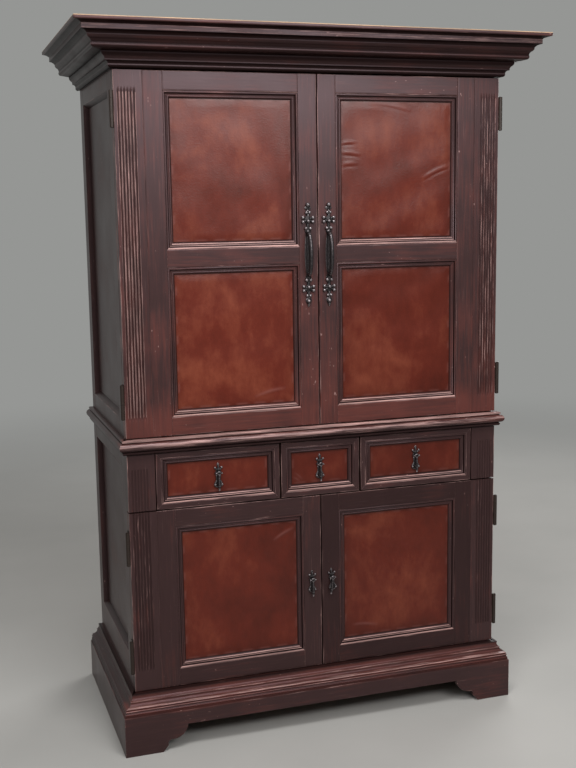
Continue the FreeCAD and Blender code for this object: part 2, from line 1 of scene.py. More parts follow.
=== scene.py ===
"""Armoire in dark painted wood with leather panels and cast iron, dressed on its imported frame."""
import math

import bmesh
import bpy
import numpy as np
from mathutils import Matrix, Vector


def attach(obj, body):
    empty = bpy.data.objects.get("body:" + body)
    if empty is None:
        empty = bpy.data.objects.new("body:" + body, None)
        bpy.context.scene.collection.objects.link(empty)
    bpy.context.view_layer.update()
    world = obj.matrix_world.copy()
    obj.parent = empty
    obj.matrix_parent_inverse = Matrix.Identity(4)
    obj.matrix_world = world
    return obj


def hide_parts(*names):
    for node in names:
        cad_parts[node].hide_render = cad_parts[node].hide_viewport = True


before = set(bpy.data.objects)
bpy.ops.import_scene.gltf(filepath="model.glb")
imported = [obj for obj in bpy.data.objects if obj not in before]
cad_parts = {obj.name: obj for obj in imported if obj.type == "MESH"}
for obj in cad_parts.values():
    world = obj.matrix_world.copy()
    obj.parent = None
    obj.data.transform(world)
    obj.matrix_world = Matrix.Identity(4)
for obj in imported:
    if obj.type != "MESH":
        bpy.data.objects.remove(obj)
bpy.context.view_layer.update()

bl_info = {
    "name": "TV armoire",
    "version": (1, 0, 0),
    "blender": (4, 5, 0),
    "location": "3D View > Sidebar > Armoire",
    "description": "Painted wood, leather panels and cast iron over the packed frame of an armoire",
    "category": "Add Mesh",
}

MM = 0.001

# Planes of the frame, in millimetres. The fronts face -Y.
HALF, INNER_HALF = 600.0, 574.0
Y_FRONT, Y_DOOR_BACK, Y_CASE, Y_BACK = -253.25, -229.25, -225.25, 370.75
FRONT_STACK = 28.0
LEATHER_THICKNESS, BACKER_THICKNESS, LEATHER_RECESS = 3.0, 8.0, 10.0
Y_LEATHER = Y_FRONT + LEATHER_RECESS
Y_BACKER = (Y_LEATHER + LEATHER_THICKNESS, Y_LEATHER + LEATHER_THICKNESS + BACKER_THICKNESS)
PILASTER_WIDTH, PILASTER_EDGE, FLUTE_LINE = 82.0, 518.0, 564.0
MEETING_EDGE, INNER_STILE, OUTER_STILE = 2.0, 59.0, 461.0
Z_BASE, Z_WAIST, Z_SPLIT, Z_CORNICE, Z_TOP = 124.0, 915.0, 936.5, 2009.0, (2119.0, 2130.0)
Z_DRAWERS, DRAWER_BORDER, BLOCK_FLUTES = (741.0, 911.0), 16.0, (700.0, 865.0)
DRAWERS = (("left_drawer", -515.0, -133.5), ("centre_drawer", -127.5, 127.5), ("right_drawer", 133.5, 515.0))
SIDES = ((-1, "left"), (1, "right"))
# Doors by level, with their height, the heights of their panels and the ends of their flutes
LEVELS = (("upper", (962.0, 2005.0), ((1016.0, 1453.0), (1505.0, 1951.0)), (1019.0, 1948.0)),
          ("lower", (186.0, 737.0), ((240.0, 683.0),), (250.0, 800.0)))
DOORS = [(f"{level}_{word}_door", side, z, panels, flutes) for level, z, panels, flutes in LEVELS
         for side, word in SIDES]
# Rubbing of the ridges, painted shade with grime in the flutes, and share of their depth left open by paint, in the
# doors' order
FLUTE_WEAR = ((1.2, 0.55, 1.0), (0.88, 0.42, 1.0), (0.65, 0.4, 0.75), (0.55, 0.4, 0.75))
BLOCK_WEAR = (0.3, 0.25, 0.6)
# Painted shade on each door's boards, in the doors' order: darker on the lower doors and darkest on the lower right,
# where the light is weaker
DOOR_SHADE = (0.0, 0.0, 0.1, 0.35)
# Both cases, with their height and the height of their side panels
CASES = (("lower", (Z_BASE, Z_SPLIT), (279.0, 864.0)), ("upper", (Z_SPLIT, Z_TOP[0]), (1010.0, 1957.0)))
SIDE_STILES, SIDE_RECESS, SIDE_SLOPE = (66.0, 60.0), 16.0, 12.0
BACK_BOARDS, Y_BACK_BOARDS, BACK_SEAM, CABLE_SLOT = 5, (Y_BACK - 12, Y_BACK - 1), 1.0, 123.5
NAIL_INSET, NAIL_RISE, SCREW_RISE = (28, 14), 0.0009, 0.0001
CORNICE_REACH = 117.5
PLINTH_HALF, PLINTH_FRONT, PLINTH_BOARD = 643.0, -296.25, 22.0
HINGE_FEET, HINGE_LEAF = (243.0, 580.0, 1019.0, 1848.0), 1.8
# Screws of a hinge, as height over its foot and distance in from the case's side
HINGE_SCREWS = ((16.0, 9.0), (50.0, 14.0), (84.0, 9.0))
PULL_LINE, LONG_PULL_HEIGHT, DRAWER_PULL_HEIGHT, DOOR_PULL_HEIGHT, DROP_PIN = 33.0, 1481.0, 836.0, 471.5, 13.0
# Width of a worn arris, rounding of the top board, and the hides' mesh step and number of slow waves
WORN_BAND, TOP_EASE, HIDE_STEP, HIDE_WAVES = 4.0, 2.5, 3.5, 9
# Shares of the full wear on backers and on the sides' mouldings, and of the full grime and painted shade in a hollow
BACKER_WEAR, SIDE_WEAR, HOLLOW_GRIME_AND_SHADE = 0.3, 0.3, 0.6
# What the meshes carry as attributes: place in the log or hide, wear, which on some mouldings and creases is a painted
# highlight too, and grime with painted shade
SURFACE = (("grain", "Vector"), ("wear", "Fac"), ("grime", "Fac"))
SIGNS = {"+": "ADD", "-": "SUBTRACT", "*": "MULTIPLY", "/": "DIVIDE"}
# A mesh made flat in its own XY plane stands on the fronts after a quarter turn about X.
UPRIGHT = Matrix.Rotation(math.radians(90), 4, "X")
BACKWARD = Matrix.Rotation(math.pi, 4, "Z") @ UPRIGHT

SIZES = (
    ("ease", "Eased edge", "Rounding of the boards' arrises", 0.0008, 0.0002),
    ("flute_pitch", "Flute pitch", "Distance between flutes", 0.009, 0.002),
    ("flute_radius", "Flute radius", "Radius of the cutter", 0.0034, 0.001),
    ("flute_depth", "Flute depth", "Depth of each groove", 0.0024, 0.0005),
    ("moulding", "Door moulding", "Width round a door panel", 0.021, 0.006),
    ("drawer_moulding", "Drawer moulding", "Width round a drawer panel", 0.020, 0.006),
    ("pucker", "Leather pucker", "Rise of the leather's slack", 0.0016, 0.0),
    ("screw", "Hinge screw", "Radius of a hinge screw's head", 0.0038, 0.001),
    ("nail", "Back nail", "Radius of a nail's head on the back", 0.0035, 0.001),
)
COLOURS = (
    ("paint", "Paint", "Dark brown paint", "#362423"),
    ("thin", "Thin paint", "Paint that lets the wood's red through", "#5a302a"),
    ("rubbed", "Rubbed paint", "Paint worn thin at its edges", "#9a7a75"),
    ("varnish", "Varnish", "Plum cast of the old varnish's gloss", "#ffe4ec"),
    ("bare", "Bare wood", "Raw wood of the top board", "#a3866a"),
    ("leather", "Leather", "Oiled red-brown leather", "#602215"),
    ("tan", "Light leather", "Where the dye is thin", "#793926"),
    ("iron", "Iron", "Blackened cast iron", "#3b3738"),
    ("hinge", "Hinges", "Steel smeared with the boards' paint", "#33261f"),
    ("inside", "Inside wood", "Stained boards inside", "#6b4a33"),
    ("floor", "Floor", "Pale studio floor", "#b4b2ae"),
    ("backdrop", "Backdrop", "What the camera sees beyond the floor", "#959694"),
    ("room", "Room light", "Soft light from all round", "#d9dad8"),
)


def linear(hex_colour):
    """Scene-linear colour of an sRGB hex value."""
    parts = [int(hex_colour[i:i + 2], 16) / 255 for i in (1, 3, 5)]
    return tuple(c / 12.92 if c <= 0.04045 else ((c + 0.055) / 1.055) ** 2.4 for c in parts) + (1.0,)


class ArmoireSizes(bpy.types.PropertyGroup):
    """Sizes of the details that dress the frame."""

    __annotations__ = {key: bpy.props.FloatProperty(name=name, description=text, default=size, min=least,
                                                    unit="LENGTH", subtype="DISTANCE")
                       for key, name, text, size, least in SIZES}
    flutes: bpy.props.IntProperty(name="Flutes", description="Grooves on each pilaster", default=6, min=1)


class ArmoireColours(bpy.types.PropertyGroup):
    """Colours of the finishes."""

    __annotations__ = {key: bpy.props.FloatVectorProperty(name=name, description=text, default=linear(code), size=4,
                                                          min=0, max=1, subtype="COLOR")
                       for key, name, text, code in COLOURS}


def add(tree, kind, inputs=(), operation=None, stops=(), curve=(), **settings):
    """Adds a node with its settings and links. An input is a value, a socket, a node, a nested node written as
    (kind, inputs) or a formula written as (sign or OPERATION, values...)."""
    prefix = next(p for p in ("ShaderNode", "GeometryNode", "FunctionNode", "") if hasattr(bpy.types, p + kind))
    node = tree.nodes.new(prefix + kind)
    if operation:
        node.operation = operation
    for key, value in settings.items():
        setattr(node, key, value)
    for k, (place, colour) in enumerate(stops):
        stop = node.color_ramp.elements[k] if k < 2 else node.color_ramp.elements.new(place)
        stop.position, stop.color = place, colour
    if curve:
        points = node.mapping.curves[0].points
        for place in curve[1:-1]:
            points.new(*place)
        points[0].location, points[-1].location = curve[0], curve[-1]
        for point in points:
            point.handle_type = "VECTOR"
        node.mapping.update()
    for key, value in inputs.items() if isinstance(inputs, dict) else enumerate(inputs):
        if isinstance(value, tuple) and isinstance(value[0], str):
            sign = SIGNS.get(value[0], value[0])
            value = add(tree, "Math", value[1:], sign) if sign.isupper() else add(tree, *value)
        if isinstance(value, bpy.types.Node):
            value = next(s for s in value.outputs if s.enabled)
        if isinstance(key, str):
            socket = next(s for s in node.inputs if s.enabled and key in (s.identifier, s.name))
        else:
            socket = node.inputs[key]
        if isinstance(value, bpy.types.NodeSocket):
            tree.links.new(value, socket)
        else:
            socket.default_value = value
    return node


def shaded(colour, share, lift=0.0):
    """Darker or lighter copy of a linear colour."""
    return tuple(min(1.0, share * c + lift) for c in colour[:3]) + (1.0,)


def painted_wood(tree, colours):
    """Old brown paint: a satin skin in soft clouds, thin and redder in places, rubbed pale at its arrises."""
    grain, wear, grime = (add(tree, "Attribute", attribute_name=key).outputs[kind] for key, kind in SURFACE)
    # Along the grain: brush streaks 120 mm long and 7 mm across, rubbing in streaks of 90 by 3 mm, hairline
    # scratches drawn at 2.5 mm so that they show, and chips of 14 by 6 mm
    streaks, broken, lines, chips = (
        add(tree, "TexNoise", {"Vector": ("Mapping", {"Vector": grain, "Scale": scale}), "Scale": 1.0,
                               "Detail": detail, "Roughness": rough})
        for scale, detail, rough in (((8, 150, 150), 4.0, 0.55), ((11, 330, 330), 5.0, 0.62),
                                     ((9, 400, 400), 3.0, 0.6), ((70, 160, 160), 1.0, 0.5)))
    # Clouds about 140 mm across, and specks of dust drawn at 4 mm so that they show
    clouds, specks = (add(tree, "TexNoise", {"Vector": grain, "Scale": scale, "Detail": detail, "Roughness": rough})
                      for scale, detail, rough in ((7.0, 4.0, 0.5), (240.0, 2.0, 0.6)))
    # The base moulding and the upper doors have faded, most of all just above the waist, but not the sides.
    _, deep, up = add(tree, "SeparateXYZ", [add(tree, "TexCoord").outputs["Object"]]).outputs
    level = add(tree, "MapRange", [up, 0.0, Z_TOP[1] * MM])
    faded = add(tree, "FloatCurve", {"Value": level}, curve=(
        (0.0, 0.05), (0.056, 0.05), (0.06, 0.9), (0.083, 0.9), (0.087, 0.05), (0.435, 0.0),
        (0.452, 1.0), (0.475, 0.9), (0.5, 0.45), (0.7, 0.25), (1.0, 0.2)))
    faded = ("*", faded, ("MapRange", [deep, -0.22, -0.25]))
    tone = ("*", ("+", ("MULTIPLY_ADD", faded, 0.64, clouds), streaks), 0.5)
    shade = add(tree, "ValToRGB", [tone], stops=(
        (0.3, shaded(colours.paint, 0.8)), (0.55, colours.paint), (0.86, colours.thin)))
    # What is rubbed most is palest.
    raw = add(tree, "ValToRGB", [("MULTIPLY_ADD", wear, 0.12, streaks)], stops=[
        (place, shaded(colours.rubbed, share)) for place, share in ((0.5, 0.45), (0.72, 1.1), (0.88, 1.9))])
    rubbed = ("MapRange", [("MULTIPLY_ADD", wear, 0.62, ("*", broken, 1.7)), 1.32, 1.5])
    specks = ("MapRange", [specks, 0.72, 0.82, 0.0, 0.6])
    lines = ("MapRange", [lines, 0.62, 0.78, 0.0, 0.38])
    pale = add(tree, "Math", [("MAXIMUM", rubbed, specks), lines], "MAXIMUM")
    # Chips lie in loose groups.
    chips = ("MapRange", [("MULTIPLY_ADD", clouds, 0.35, chips), 0.95, 1.0, 0.0, 0.7])
    # The grime values darken the paint last: grime, and painted shade in hollows, flutes, recesses, under what juts
    # out and on the darker doors.
    colour = shade
    for share, over in ((pale, raw), (chips, colours.rubbed), (grime, shaded(colours.paint, 0.25))):
        colour = add(tree, "Mix", {"Factor": share, "A": colour, "B": over}, data_type="RGBA")
    height = ("MULTIPLY_ADD", pale, -0.7, streaks)
    # What is darkened, grime and painted shade alike, has little gloss.
    return add(tree, "BsdfPrincipled", {
        "Base Color": colour, "Roughness": ("MapRange", [clouds, 0.3, 0.7, 0.31, 0.39]),
        "Normal": ("Bump", {"Strength": 0.2, "Distance": 0.0006, "Height": height}),
        "Specular IOR Level": ("MapRange", [grime, 0.0, 1.0, 0.35, 0.04]), "Specular Tint": colours.varnish})


def oiled_leather(tree, colours):
    """Oiled hide: a soft satin surface, mottled red-brown, darkened by dirt and painted shade, paled by fraying and
    painted highlights.
    """
    grain, wear, grime = (add(tree, "Attribute", attribute_name=key).outputs[kind] for key, kind in SURFACE)
    # Clouds of dye about 200 mm across, mottling 30 mm across that runs down 60 mm, and pores drawn
    # at 4 mm so that they show
    clouds = add(tree, "TexNoise", {"Vector": grain, "Scale": 5.0, "Detail": 4.0, "Roughness": 0.5, "Distortion": 0.6})
    hung = ("Mapping", {"Vector": grain, "Scale": (34, 34, 18)})
    mottle = add(tree, "TexNoise", {"Vector": hung, "Scale": 1.0, "Detail": 7.0, "Roughness": 0.66})
    pores = add(tree, "TexVoronoi", {"Vector": grain, "Scale": 250.0}).outputs["Distance"]
    tone = add(tree, "Math", [mottle, 0.5, clouds], "MULTIPLY_ADD")
    colour = add(tree, "ValToRGB", [tone], stops=(
        (0.48, shaded(colours.leather, 0.62)), (0.76, colours.leather), (1.0, colours.tan)))
    # Wear pales the frayed border and the creases' ridges, which is a painted highlight there; grime darkens with dirt
    # and painted shade.
    for share, over in ((wear, shaded(colours.leather, 1.5, 0.06)), (grime, shaded(colours.leather, 0.3))):
        colour = add(tree, "Mix", {"Factor": share, "A": colour, "B": over}, data_type="RGBA")
    height = ("MULTIPLY_ADD", mottle, 3.0, pores)
    return add(tree, "BsdfPrincipled", {
        "Base Color": colour, "Roughness": ("MapRange", [tone, 0.6, 1.05, 0.28, 0.37]),
        "Normal": ("Bump", {"Strength": 0.25, "Distance": 0.0005, "Height": height}), "Specular IOR Level": 0.27})


def cast_iron(tree, colours, key, pit_scale, metal):
    """Blackened iron: a dark skin with a soft gleam, rubbed to grey metal on what stands out."""
    colour = getattr(colours, key)
    place = add(tree, "TexCoord").outputs["Object"]
    wear = add(tree, "Attribute", attribute_name="wear").outputs["Fac"]
    pits = add(tree, "TexNoise", {"Vector": place, "Scale": pit_scale, "Detail": 4.0, "Roughness": 0.6})
    bright = add(tree, "MapRange", [("MULTIPLY_ADD", pits, 0.5, wear), 0.55, 1.1])
    skin = add(tree, "ValToRGB", [pits], stops=((0.3, shaded(colour, 0.4)), (0.7, colour)))
    worn = add(tree, "Mix", {"Factor": bright, "A": skin, "B": shaded(colour, 6.0)}, data_type="RGBA")
    return add(tree, "BsdfPrincipled", {
        "Base Color": worn, "Roughness": ("MapRange", [bright, 0.0, 1.0, 0.46, 0.3]), "Metallic": metal,
        "Normal": ("Bump", {"Strength": 0.4, "Distance": 0.0004, "Height": pits})})


def grained_wood(tree, colours, key, along, dust):
    """Sawn and stained softwood: matt, with darker growth lines along the board and some dust."""
    colour = getattr(colours, key)
    place = add(tree, "TexCoord").outputs["Object"]
    # Growth lines about 12 mm apart that wander over 300 mm; fibres drawn at 3 mm so that they show
    lines, fibres = (
        add(tree, "TexNoise", {"Vector": ("Mapping", {"Vector": place, "Scale": [
            long if axis == along else fine for axis in range(3)]}), "Scale": 1.0, **look})
        for long, fine, look in ((3.5, 85.0, {"Detail": 3.0, "Distortion": 0.6}),
                                 (9.0, 330.0, {"Detail": 4.0, "Roughness": 0.6})))
    tone = add(tree, "Math", [fibres, 0.6, lines], "MULTIPLY_ADD")
    shade = add(tree, "ValToRGB", [tone], stops=(
        (0.5, shaded(colour, 0.42)), (0.8, colour), (1.0, shaded(colour, 1.35))))
    clouds = ("TexNoise", {"Vector": place, "Scale": 6.0, "Detail": 5.0})
    dusty = add(tree, "Mix", {"Factor": ("MapRange", [clouds, 0.4, 0.75, 0.0, dust]), "A": shade,
                              "B": shaded(colour, 0.9, 0.12)}, data_type="RGBA")
    return add(tree, "BsdfPrincipled", {
        "Base Color": dusty, "Roughness": ("MapRange", [fibres, 0.0, 1.0, 0.55, 0.8]), "Specular IOR Level": 0.35,
        "Normal": ("Bump", {"Strength": 0.35, "Distance": 0.0006, "Height": tone})})


def seen_ray(tree):
    """Share that is one for the rays that show the backdrop: from the camera, a gloss or a glass."""
    path = add(tree, "LightPath").outputs
    seen = ("MAXIMUM", path["Is Camera Ray"], path["Is Glossy Ray"])
    return add(tree, "Math", [seen, path["Is Transmission Ray"]], "MAXIMUM")


def studio_floor(tree, colours):
    """Sealed concrete: pale, matt and faintly clouded; far off it passes into the backdrop."""
    place = add(tree, "TexCoord").outputs["Object"]
    # Trowel clouds about half a metre across
    clouds = ("TexNoise", {"Vector": place, "Scale": 2.0, "Detail": 5.0})
    shade = add(tree, "ValToRGB", [clouds], stops=((0.3, shaded(colours.floor, 0.93)), (0.7, colours.floor)))
    shader = add(tree, "BsdfPrincipled", {"Base Color": shade, "Roughness": 0.8, "Specular IOR Level": 0.2})
    away = add(tree, "VectorMath", [place], "LENGTH").outputs["Value"]
    away = add(tree, "MapRange", [away, 1.6, 6.5], interpolation_type="SMOOTHSTEP")
    beyond = add(tree, "Emission", {"Color": colours.backdrop})
    return add(tree, "MixShader", [("*", away, seen_ray(tree)), shader, beyond])


# Each material's name, the function that fills its tree, and what that function is told
FINISHES = {
    "paint": ("distressed_painted_wood", painted_wood),
    "leather": ("oiled_leather", oiled_leather),
    "iron": ("blackened_cast_iron", cast_iron, "iron", 260.0, 0.85),
    "steel": ("painted_hinge_steel", cast_iron, "hinge", 700.0, 0.3),
    "inside across": ("stained_softwood_across", grained_wood, "inside", 0, 0.12),
    "inside upright": ("stained_softwood_upright", grained_wood, "inside", 2, 0.12),
    "inside deep": ("stained_softwood_deep", grained_wood, "inside", 1, 0.12),
    "bare": ("bare_softwood", grained_wood, "bare", 0, 0.3),
    "floor": ("sealed_concrete", studio_floor),
}
MADE = {}


def finish(key):
    """One of the materials, made when it is first asked for."""
    if key not in MADE:
        name, fill, *told = FINISHES[key]
        MADE[key] = bpy.data.materials.new(name)
        MADE[key].use_nodes = True
        tree = MADE[key].node_tree
        tree.nodes.clear()
        add(tree, "OutputMaterial", {"Surface": fill(tree, bpy.context.scene.armoire_colours, *told)})
    return MADE[key]


class Shape:
    """Points in millimetres, faces, and the surface values that the finishes read."""

    def __init__(self, points, faces, wear, grime, grain, finish=0):
        self.points = np.asarray(points, float)
        self.faces = faces
        self.wear = np.broadcast_to(wear, len(self.points))
        self.grime = np.broadcast_to(grime, len(self.points))
        self.grain = grain
        self.finish = finish


def linked(name, data):
    """New object in the scene."""
    obj = bpy.data.objects.new(name, data)
    bpy.context.scene.collection.objects.link(obj)
    return obj


def paint_node(node, finish_name):
    """Gives a CAD node that keeps its shape one of the finishes."""
    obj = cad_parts[node]
    obj.data.materials.clear()
    obj.data.materials.append(finish(finish_name))


def dress(name, mesh, body, nodes, crease):
    """Smooths a mesh, keeps the arrises sharper than the crease angle, and puts it on its body as a piece in place
    of the CAD nodes that it stands for."""
    work = bmesh.new()
    work.from_mesh(mesh)
    bmesh.ops.recalc_face_normals(work, faces=work.faces)
    work.to_mesh(mesh)
    work.free()
    mesh.shade_smooth()
    mesh.set_sharp_from_angle(angle=math.radians(crease))
    mesh.update()
    obj = linked(name, mesh)
    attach(obj, body)
    if nodes:
        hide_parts(*nodes)
    return obj


def piece(name, shapes, body, nodes, finishes=("paint",), crease=40):
    """Joins shapes into one mesh object with its finishes and surface values."""
    mesh = bpy.data.meshes.new(name)
    faces, indices, start = [], [], 0
    for shape in shapes:
        faces += [[start + i for i in face] for face in shape.faces]
        indices += np.broadcast_to(shape.finish, len(shape.faces)).tolist()
        start += len(shape.points)
    mesh.from_pydata((np.concatenate([s.points for s in shapes]) * MM).tolist(), [], faces)
    for key in finishes:
        mesh.materials.append(finish(key))
    mesh.polygons.foreach_set("material_index", indices)
    for key in ("wear", "grime"):
        values = np.concatenate([getattr(s, key) for s in shapes])
        mesh.attributes.new(key, "FLOAT", "POINT").data.foreach_set("value", values.astype(np.float32))
    grain = np.concatenate([s.grain for s in shapes]) * MM
    mesh.attributes.new("grain", "FLOAT_VECTOR", "POINT").data.foreach_set("vector", grain.astype(np.float32).ravel())
    return dress(name, mesh, body, nodes, crease)


def grown_piece(name, mesh, place, body, nodes, crease=30):
    """Object from a finished mesh, put in its place in the frame."""
    mesh.name = name
    mesh.transform(place)
    return dress(name, mesh, body, nodes, crease)


def at(x, y, z):
    """Move to a place given in millimetres."""
    return Matrix.Translation(Vector((x, y, z)) * MM)


def grain_offset(seed):
    """Where in its own log a board was cut, so that no two boards match."""
    return np.random.default_rng(seed).uniform(0, 20000, 3)


def quads(ids):
    """Faces between the points of a grid of indices."""
    return np.stack([ids[:-1, :-1], ids[1:, :-1], ids[1:, 1:], ids[:-1, 1:]], axis=-1).reshape(-1, 4).tolist()


def band(first, second):
    """Faces between two closed rows of indices."""
    return quads(np.stack([np.append(row, row[0]) for row in (first, second)], axis=1))


def eased_board(x, y, z, along, seed, meets=(), strength=1.0, finish=0, ease=None, grime=0.0):
    """Board with rounded arrises; meets names the sides such as 'x0' that close against another board."""
    low, high = (np.array([end(x), end(y), end(z)]) for end in (min, max))
    ease = min(ease or bpy.context.scene.armoire_sizes.ease / MM, (high - low).min() / 4)
    lines = []
    for axis in range(3):
        strip = min(WORN_BAND, 0.8 * ((high[axis] - low[axis]) / 2 - ease))
        near = np.array([0, 0.4 * ease, ease, ease + strip])
        lines.append(np.concatenate([low[axis] + near, high[axis] - near[::-1]]))
    # The points are those of a lattice that lie on a side.
    lattice = np.stack(np.meshgrid(*lines, indexing="ij"), axis=-1)
    on_side = (lattice == low) | (lattice == high)
    skin = on_side.any(axis=-1)
    points, on_side = lattice[skin], on_side[skin]
    ids = np.zeros(skin.shape, int)
    ids[skin] = np.arange(len(points))
    rub, faces = np.zeros(len(points)), []
    for axis in range(3):
        others = [(axis + 1) % 3, (axis + 2) % 3]
        for end, limit in enumerate((low, high)):
            faces += quads(np.moveaxis(ids, [axis, *others], [0, 1, 2])[-end])
            if "xyz"[axis] + str(end) not in meets:
                near = 1 - np.abs(points[:, axis] - limit[axis]) / (ease + WORN_BAND)
                rub = np.where(on_side[:, others].any(axis=1), np.maximum(rub, near), rub)
    core = np.clip(points, low + ease, high - ease)
    out = points - core
    points = core + ease * out / np.linalg.norm(out, axis=1)[:, None]
    order = [along] + [a for a in range(3) if a != along]
    return Shape(points, faces, strength * rub, grime, points[:, order] + grain_offset(seed), finish)


def mitred(shape, along, across, centre, half, outer, inward):
    """Draws a border bar's ends in to 45 degrees from its outer edge."""
    inset = (shape.points[:, across] - outer) * inward
    shape.points[:, along] = centre + (shape.points[:, along] - centre) * (half - inset) / half
    return shape


def profile(start, moves, steps=10, tip=2.0):
    """Line from moves of (across, up, bow): a bow bends a move into an arc, a tip adds points near its ends."""
    points = [np.array(start, float)]
    for across, up, bow in moves:
        first = points[-1]
        step = np.array((across, up), float)
        chord = np.linalg.norm(step)
        step = step / chord
        if bow:
            side = np.array((step[1], -step[0])) * math.copysign(1, bow)
            radius = (chord ** 2 / 4 + bow ** 2) / (2 * abs(bow))
            spread = 2 * math.atan(2 * abs(bow) / chord)
            for t in np.linspace(-spread, spread, steps + 1)[1:]:
                rise = radius * math.cos(t) - radius + abs(bow)
                points.append(first + step * (chord / 2 + radius * math.sin(t)) + side * rise)
        else:
            inset = min(tip, chord / 4)
            points += [first + step * d for d in ((inset, chord - inset, chord) if tip else (chord,))]
    return np.array(points)


def rubbed_grimed_and_shaded(line):
    """Wear of the convex stretches of a moulding line that runs up its outer side, and grime with painted shade in its
    hollow stretches.
    """
    steps = np.diff(line, axis=0)
    length = np.concatenate([[0], np.cumsum(np.linalg.norm(steps, axis=1))])
    heading = np.arctan2(steps[:, 1], steps[:, 0])
    turn = np.zeros(len(line))
    turn[1:-1] = (np.diff(heading) + math.pi) % (2 * math.pi) - math.pi
    near = np.abs(length[:, None] - length[None, :]) < WORN_BAND
    total = near @ turn
    low, span = math.radians(25), math.radians(55)
    return np.clip((total - low) / span, 0, 1), np.clip((-total - low) / span, 0, 1)


def moulded_run(line, back, ends, along, seed, wear, grime):
    """Straight length of a moulding, closed against its back, between two ends that may be mitred."""
    section = np.concatenate([line, [(back, line[-1][1]), (back, line[0][1])]])
    count = len(section)
    points = np.concatenate([[end(r, u) for r, u in section] for end in ends])
    first, last = np.arange(2 * count).reshape(2, count)
    faces = band(first, last) + [first.tolist(), last[::-1].tolist()]
    grain = np.zeros((2 * count, 3))
    grain[:, 0] = points[:, along]
    grain[:, 1] = np.tile(np.concatenate([[0], np.cumsum(np.linalg.norm(np.diff(section, axis=0), axis=1))]), 2)
    wear, grime = (np.tile(np.concatenate([values, (0, 0)]), 2) for values in (wear, grime))
    return Shape(points, faces, wear, grime, grain + grain_offset(seed))


def wrapped_moulding(z, line, seed, rub, scuff, soot_and_shade):
    """Moulding across the front and back along both sides, mitred at the corners; scuff, and soot with painted shade,
    go by height.
    """
    wear, grime = rubbed_grimed_and_shaded(line)
    wear = rub * wear + np.interp(line[:, 1], *zip(*scuff))
    grime = np.maximum(HOLLOW_GRIME_AND_SHADE * grime, np.interp(line[:, 1], *zip(*soot_and_shade)))
    ends = [lambda r, u, s=s: (s * (HALF + max(r, 0)), Y_FRONT - r, z + u) for s in (-1, 1)]
    runs = [moulded_run(line, -FRONT_STACK, ends, 0, seed, wear, grime)]
    for s in (-1, 1):
        ends = [lambda r, u, s=s: (s * (HALF + r), Y_FRONT - r, z + u),
                lambda r, u, s=s: (s * (HALF + r), Y_BACK, z + u)]
        runs.append(moulded_run(line, 0.0, ends, 1, seed + 2 + s, SIDE_WEAR * wear, grime))
    return runs


def inset_outline(outline, distance):
    """Closed outline drawn in by a distance; the outline runs counterclockwise."""
    ahead = np.roll(outline, -1, axis=0) - outline
    ahead = ahead / np.linalg.norm(ahead, axis=1)[:, None]
    inward = np.stack([-ahead[:, 1], ahead[:, 0]], axis=1)
    before = np.roll(inward, 1, axis=0)
    share = np.maximum(1 + (inward * before).sum(axis=1), 0.7)
    return outline + distance * (inward + before) / share[:, None]


def sawn_board(outline, y0, y1, seed, strength, ease=1.5):
    """Upright board sawn to an outline of (x, z) points, with its front arris eased."""
    loops = ((0.0, y1, 0.6), (0.0, y0 + ease, 1.0), (0.3 * ease, y0 + 0.3 * ease, 1.0),
             (ease, y0, 1.0), (ease + 2.5, y0, 0.0))
    count = len(outline)
    points = []
    for inset, y, _ in loops:
        flat = inset_outline(outline, inset)
        points.append(np.stack([flat[:, 0], np.full(count, y), flat[:, 1]], axis=1))
    points = np.concatenate(points)
    wear = np.repeat([strength * rub for _, _, rub in loops], count)
    rows = np.arange(len(points)).reshape(len(loops), count)
    faces = [rows[0].tolist(), rows[-1].tolist()]
    for first, second in zip(rows, rows[1:]):
        faces += band(first, second)
    return Shape(points, faces, wear, 0.0, points[:, [0, 2, 1]] + grain_offset(seed))


def node_group(name, numbers, counts=()):
    """Geometry node tree with named inputs and a finish; returns it and the sockets that bring the inputs in."""
    tree = bpy.data.node_groups.new(name, "GeometryNodeTree")
    inputs = [("Geometry", "Geometry"), *((label, "Int" if label in counts else "Float") for label in numbers),
              ("Finish", "Material")]
    for label, kind in inputs:
        tree.interface.new_socket(label, in_out="INPUT", socket_type="NodeSocket" + kind)
    tree.interface.new_socket("Geometry", in_out="OUTPUT", socket_type="NodeSocketGeometry")
    return tree, add(tree, "NodeGroupInput").outputs


def closed(tree, geometry, given):
    """Ends a node tree: what it made becomes real and wears the finish."""
    real = add(tree, "RealizeInstances", [geometry])
    add(tree, "NodeGroupOutput", [("SetMaterial", {"Geometry": real, "Material": given["Finish"]})])
    return tree


def baked(obj):
    """Plain mesh of what an object's modifiers make; the object goes."""
    mesh = bpy.data.meshes.new_from_object(obj.evaluated_get(bpy.context.evaluated_depsgraph_get()))
    obj.modifiers.clear()
    bpy.data.objects.remove(obj)
    return mesh


def grown(tree, values, name, finish_name, points=()):
    """Runs a node tree on a mesh of points and returns what it makes as a plain mesh."""
    base = bpy.data.meshes.new(name)
    base.from_pydata(list(points), [], [])
    obj = linked(name, base)
    modifier = obj.modifiers.new(tree.name, "NODES")
    modifier.node_group = tree
    sockets = {s.name: s.identifier for s in tree.interface.items_tree if s.in_out == "INPUT"}
    for key, value in {**values, "Finish": finish(finish_name)}.items():
        modifier[sockets[key]] = value
    return baked(obj)


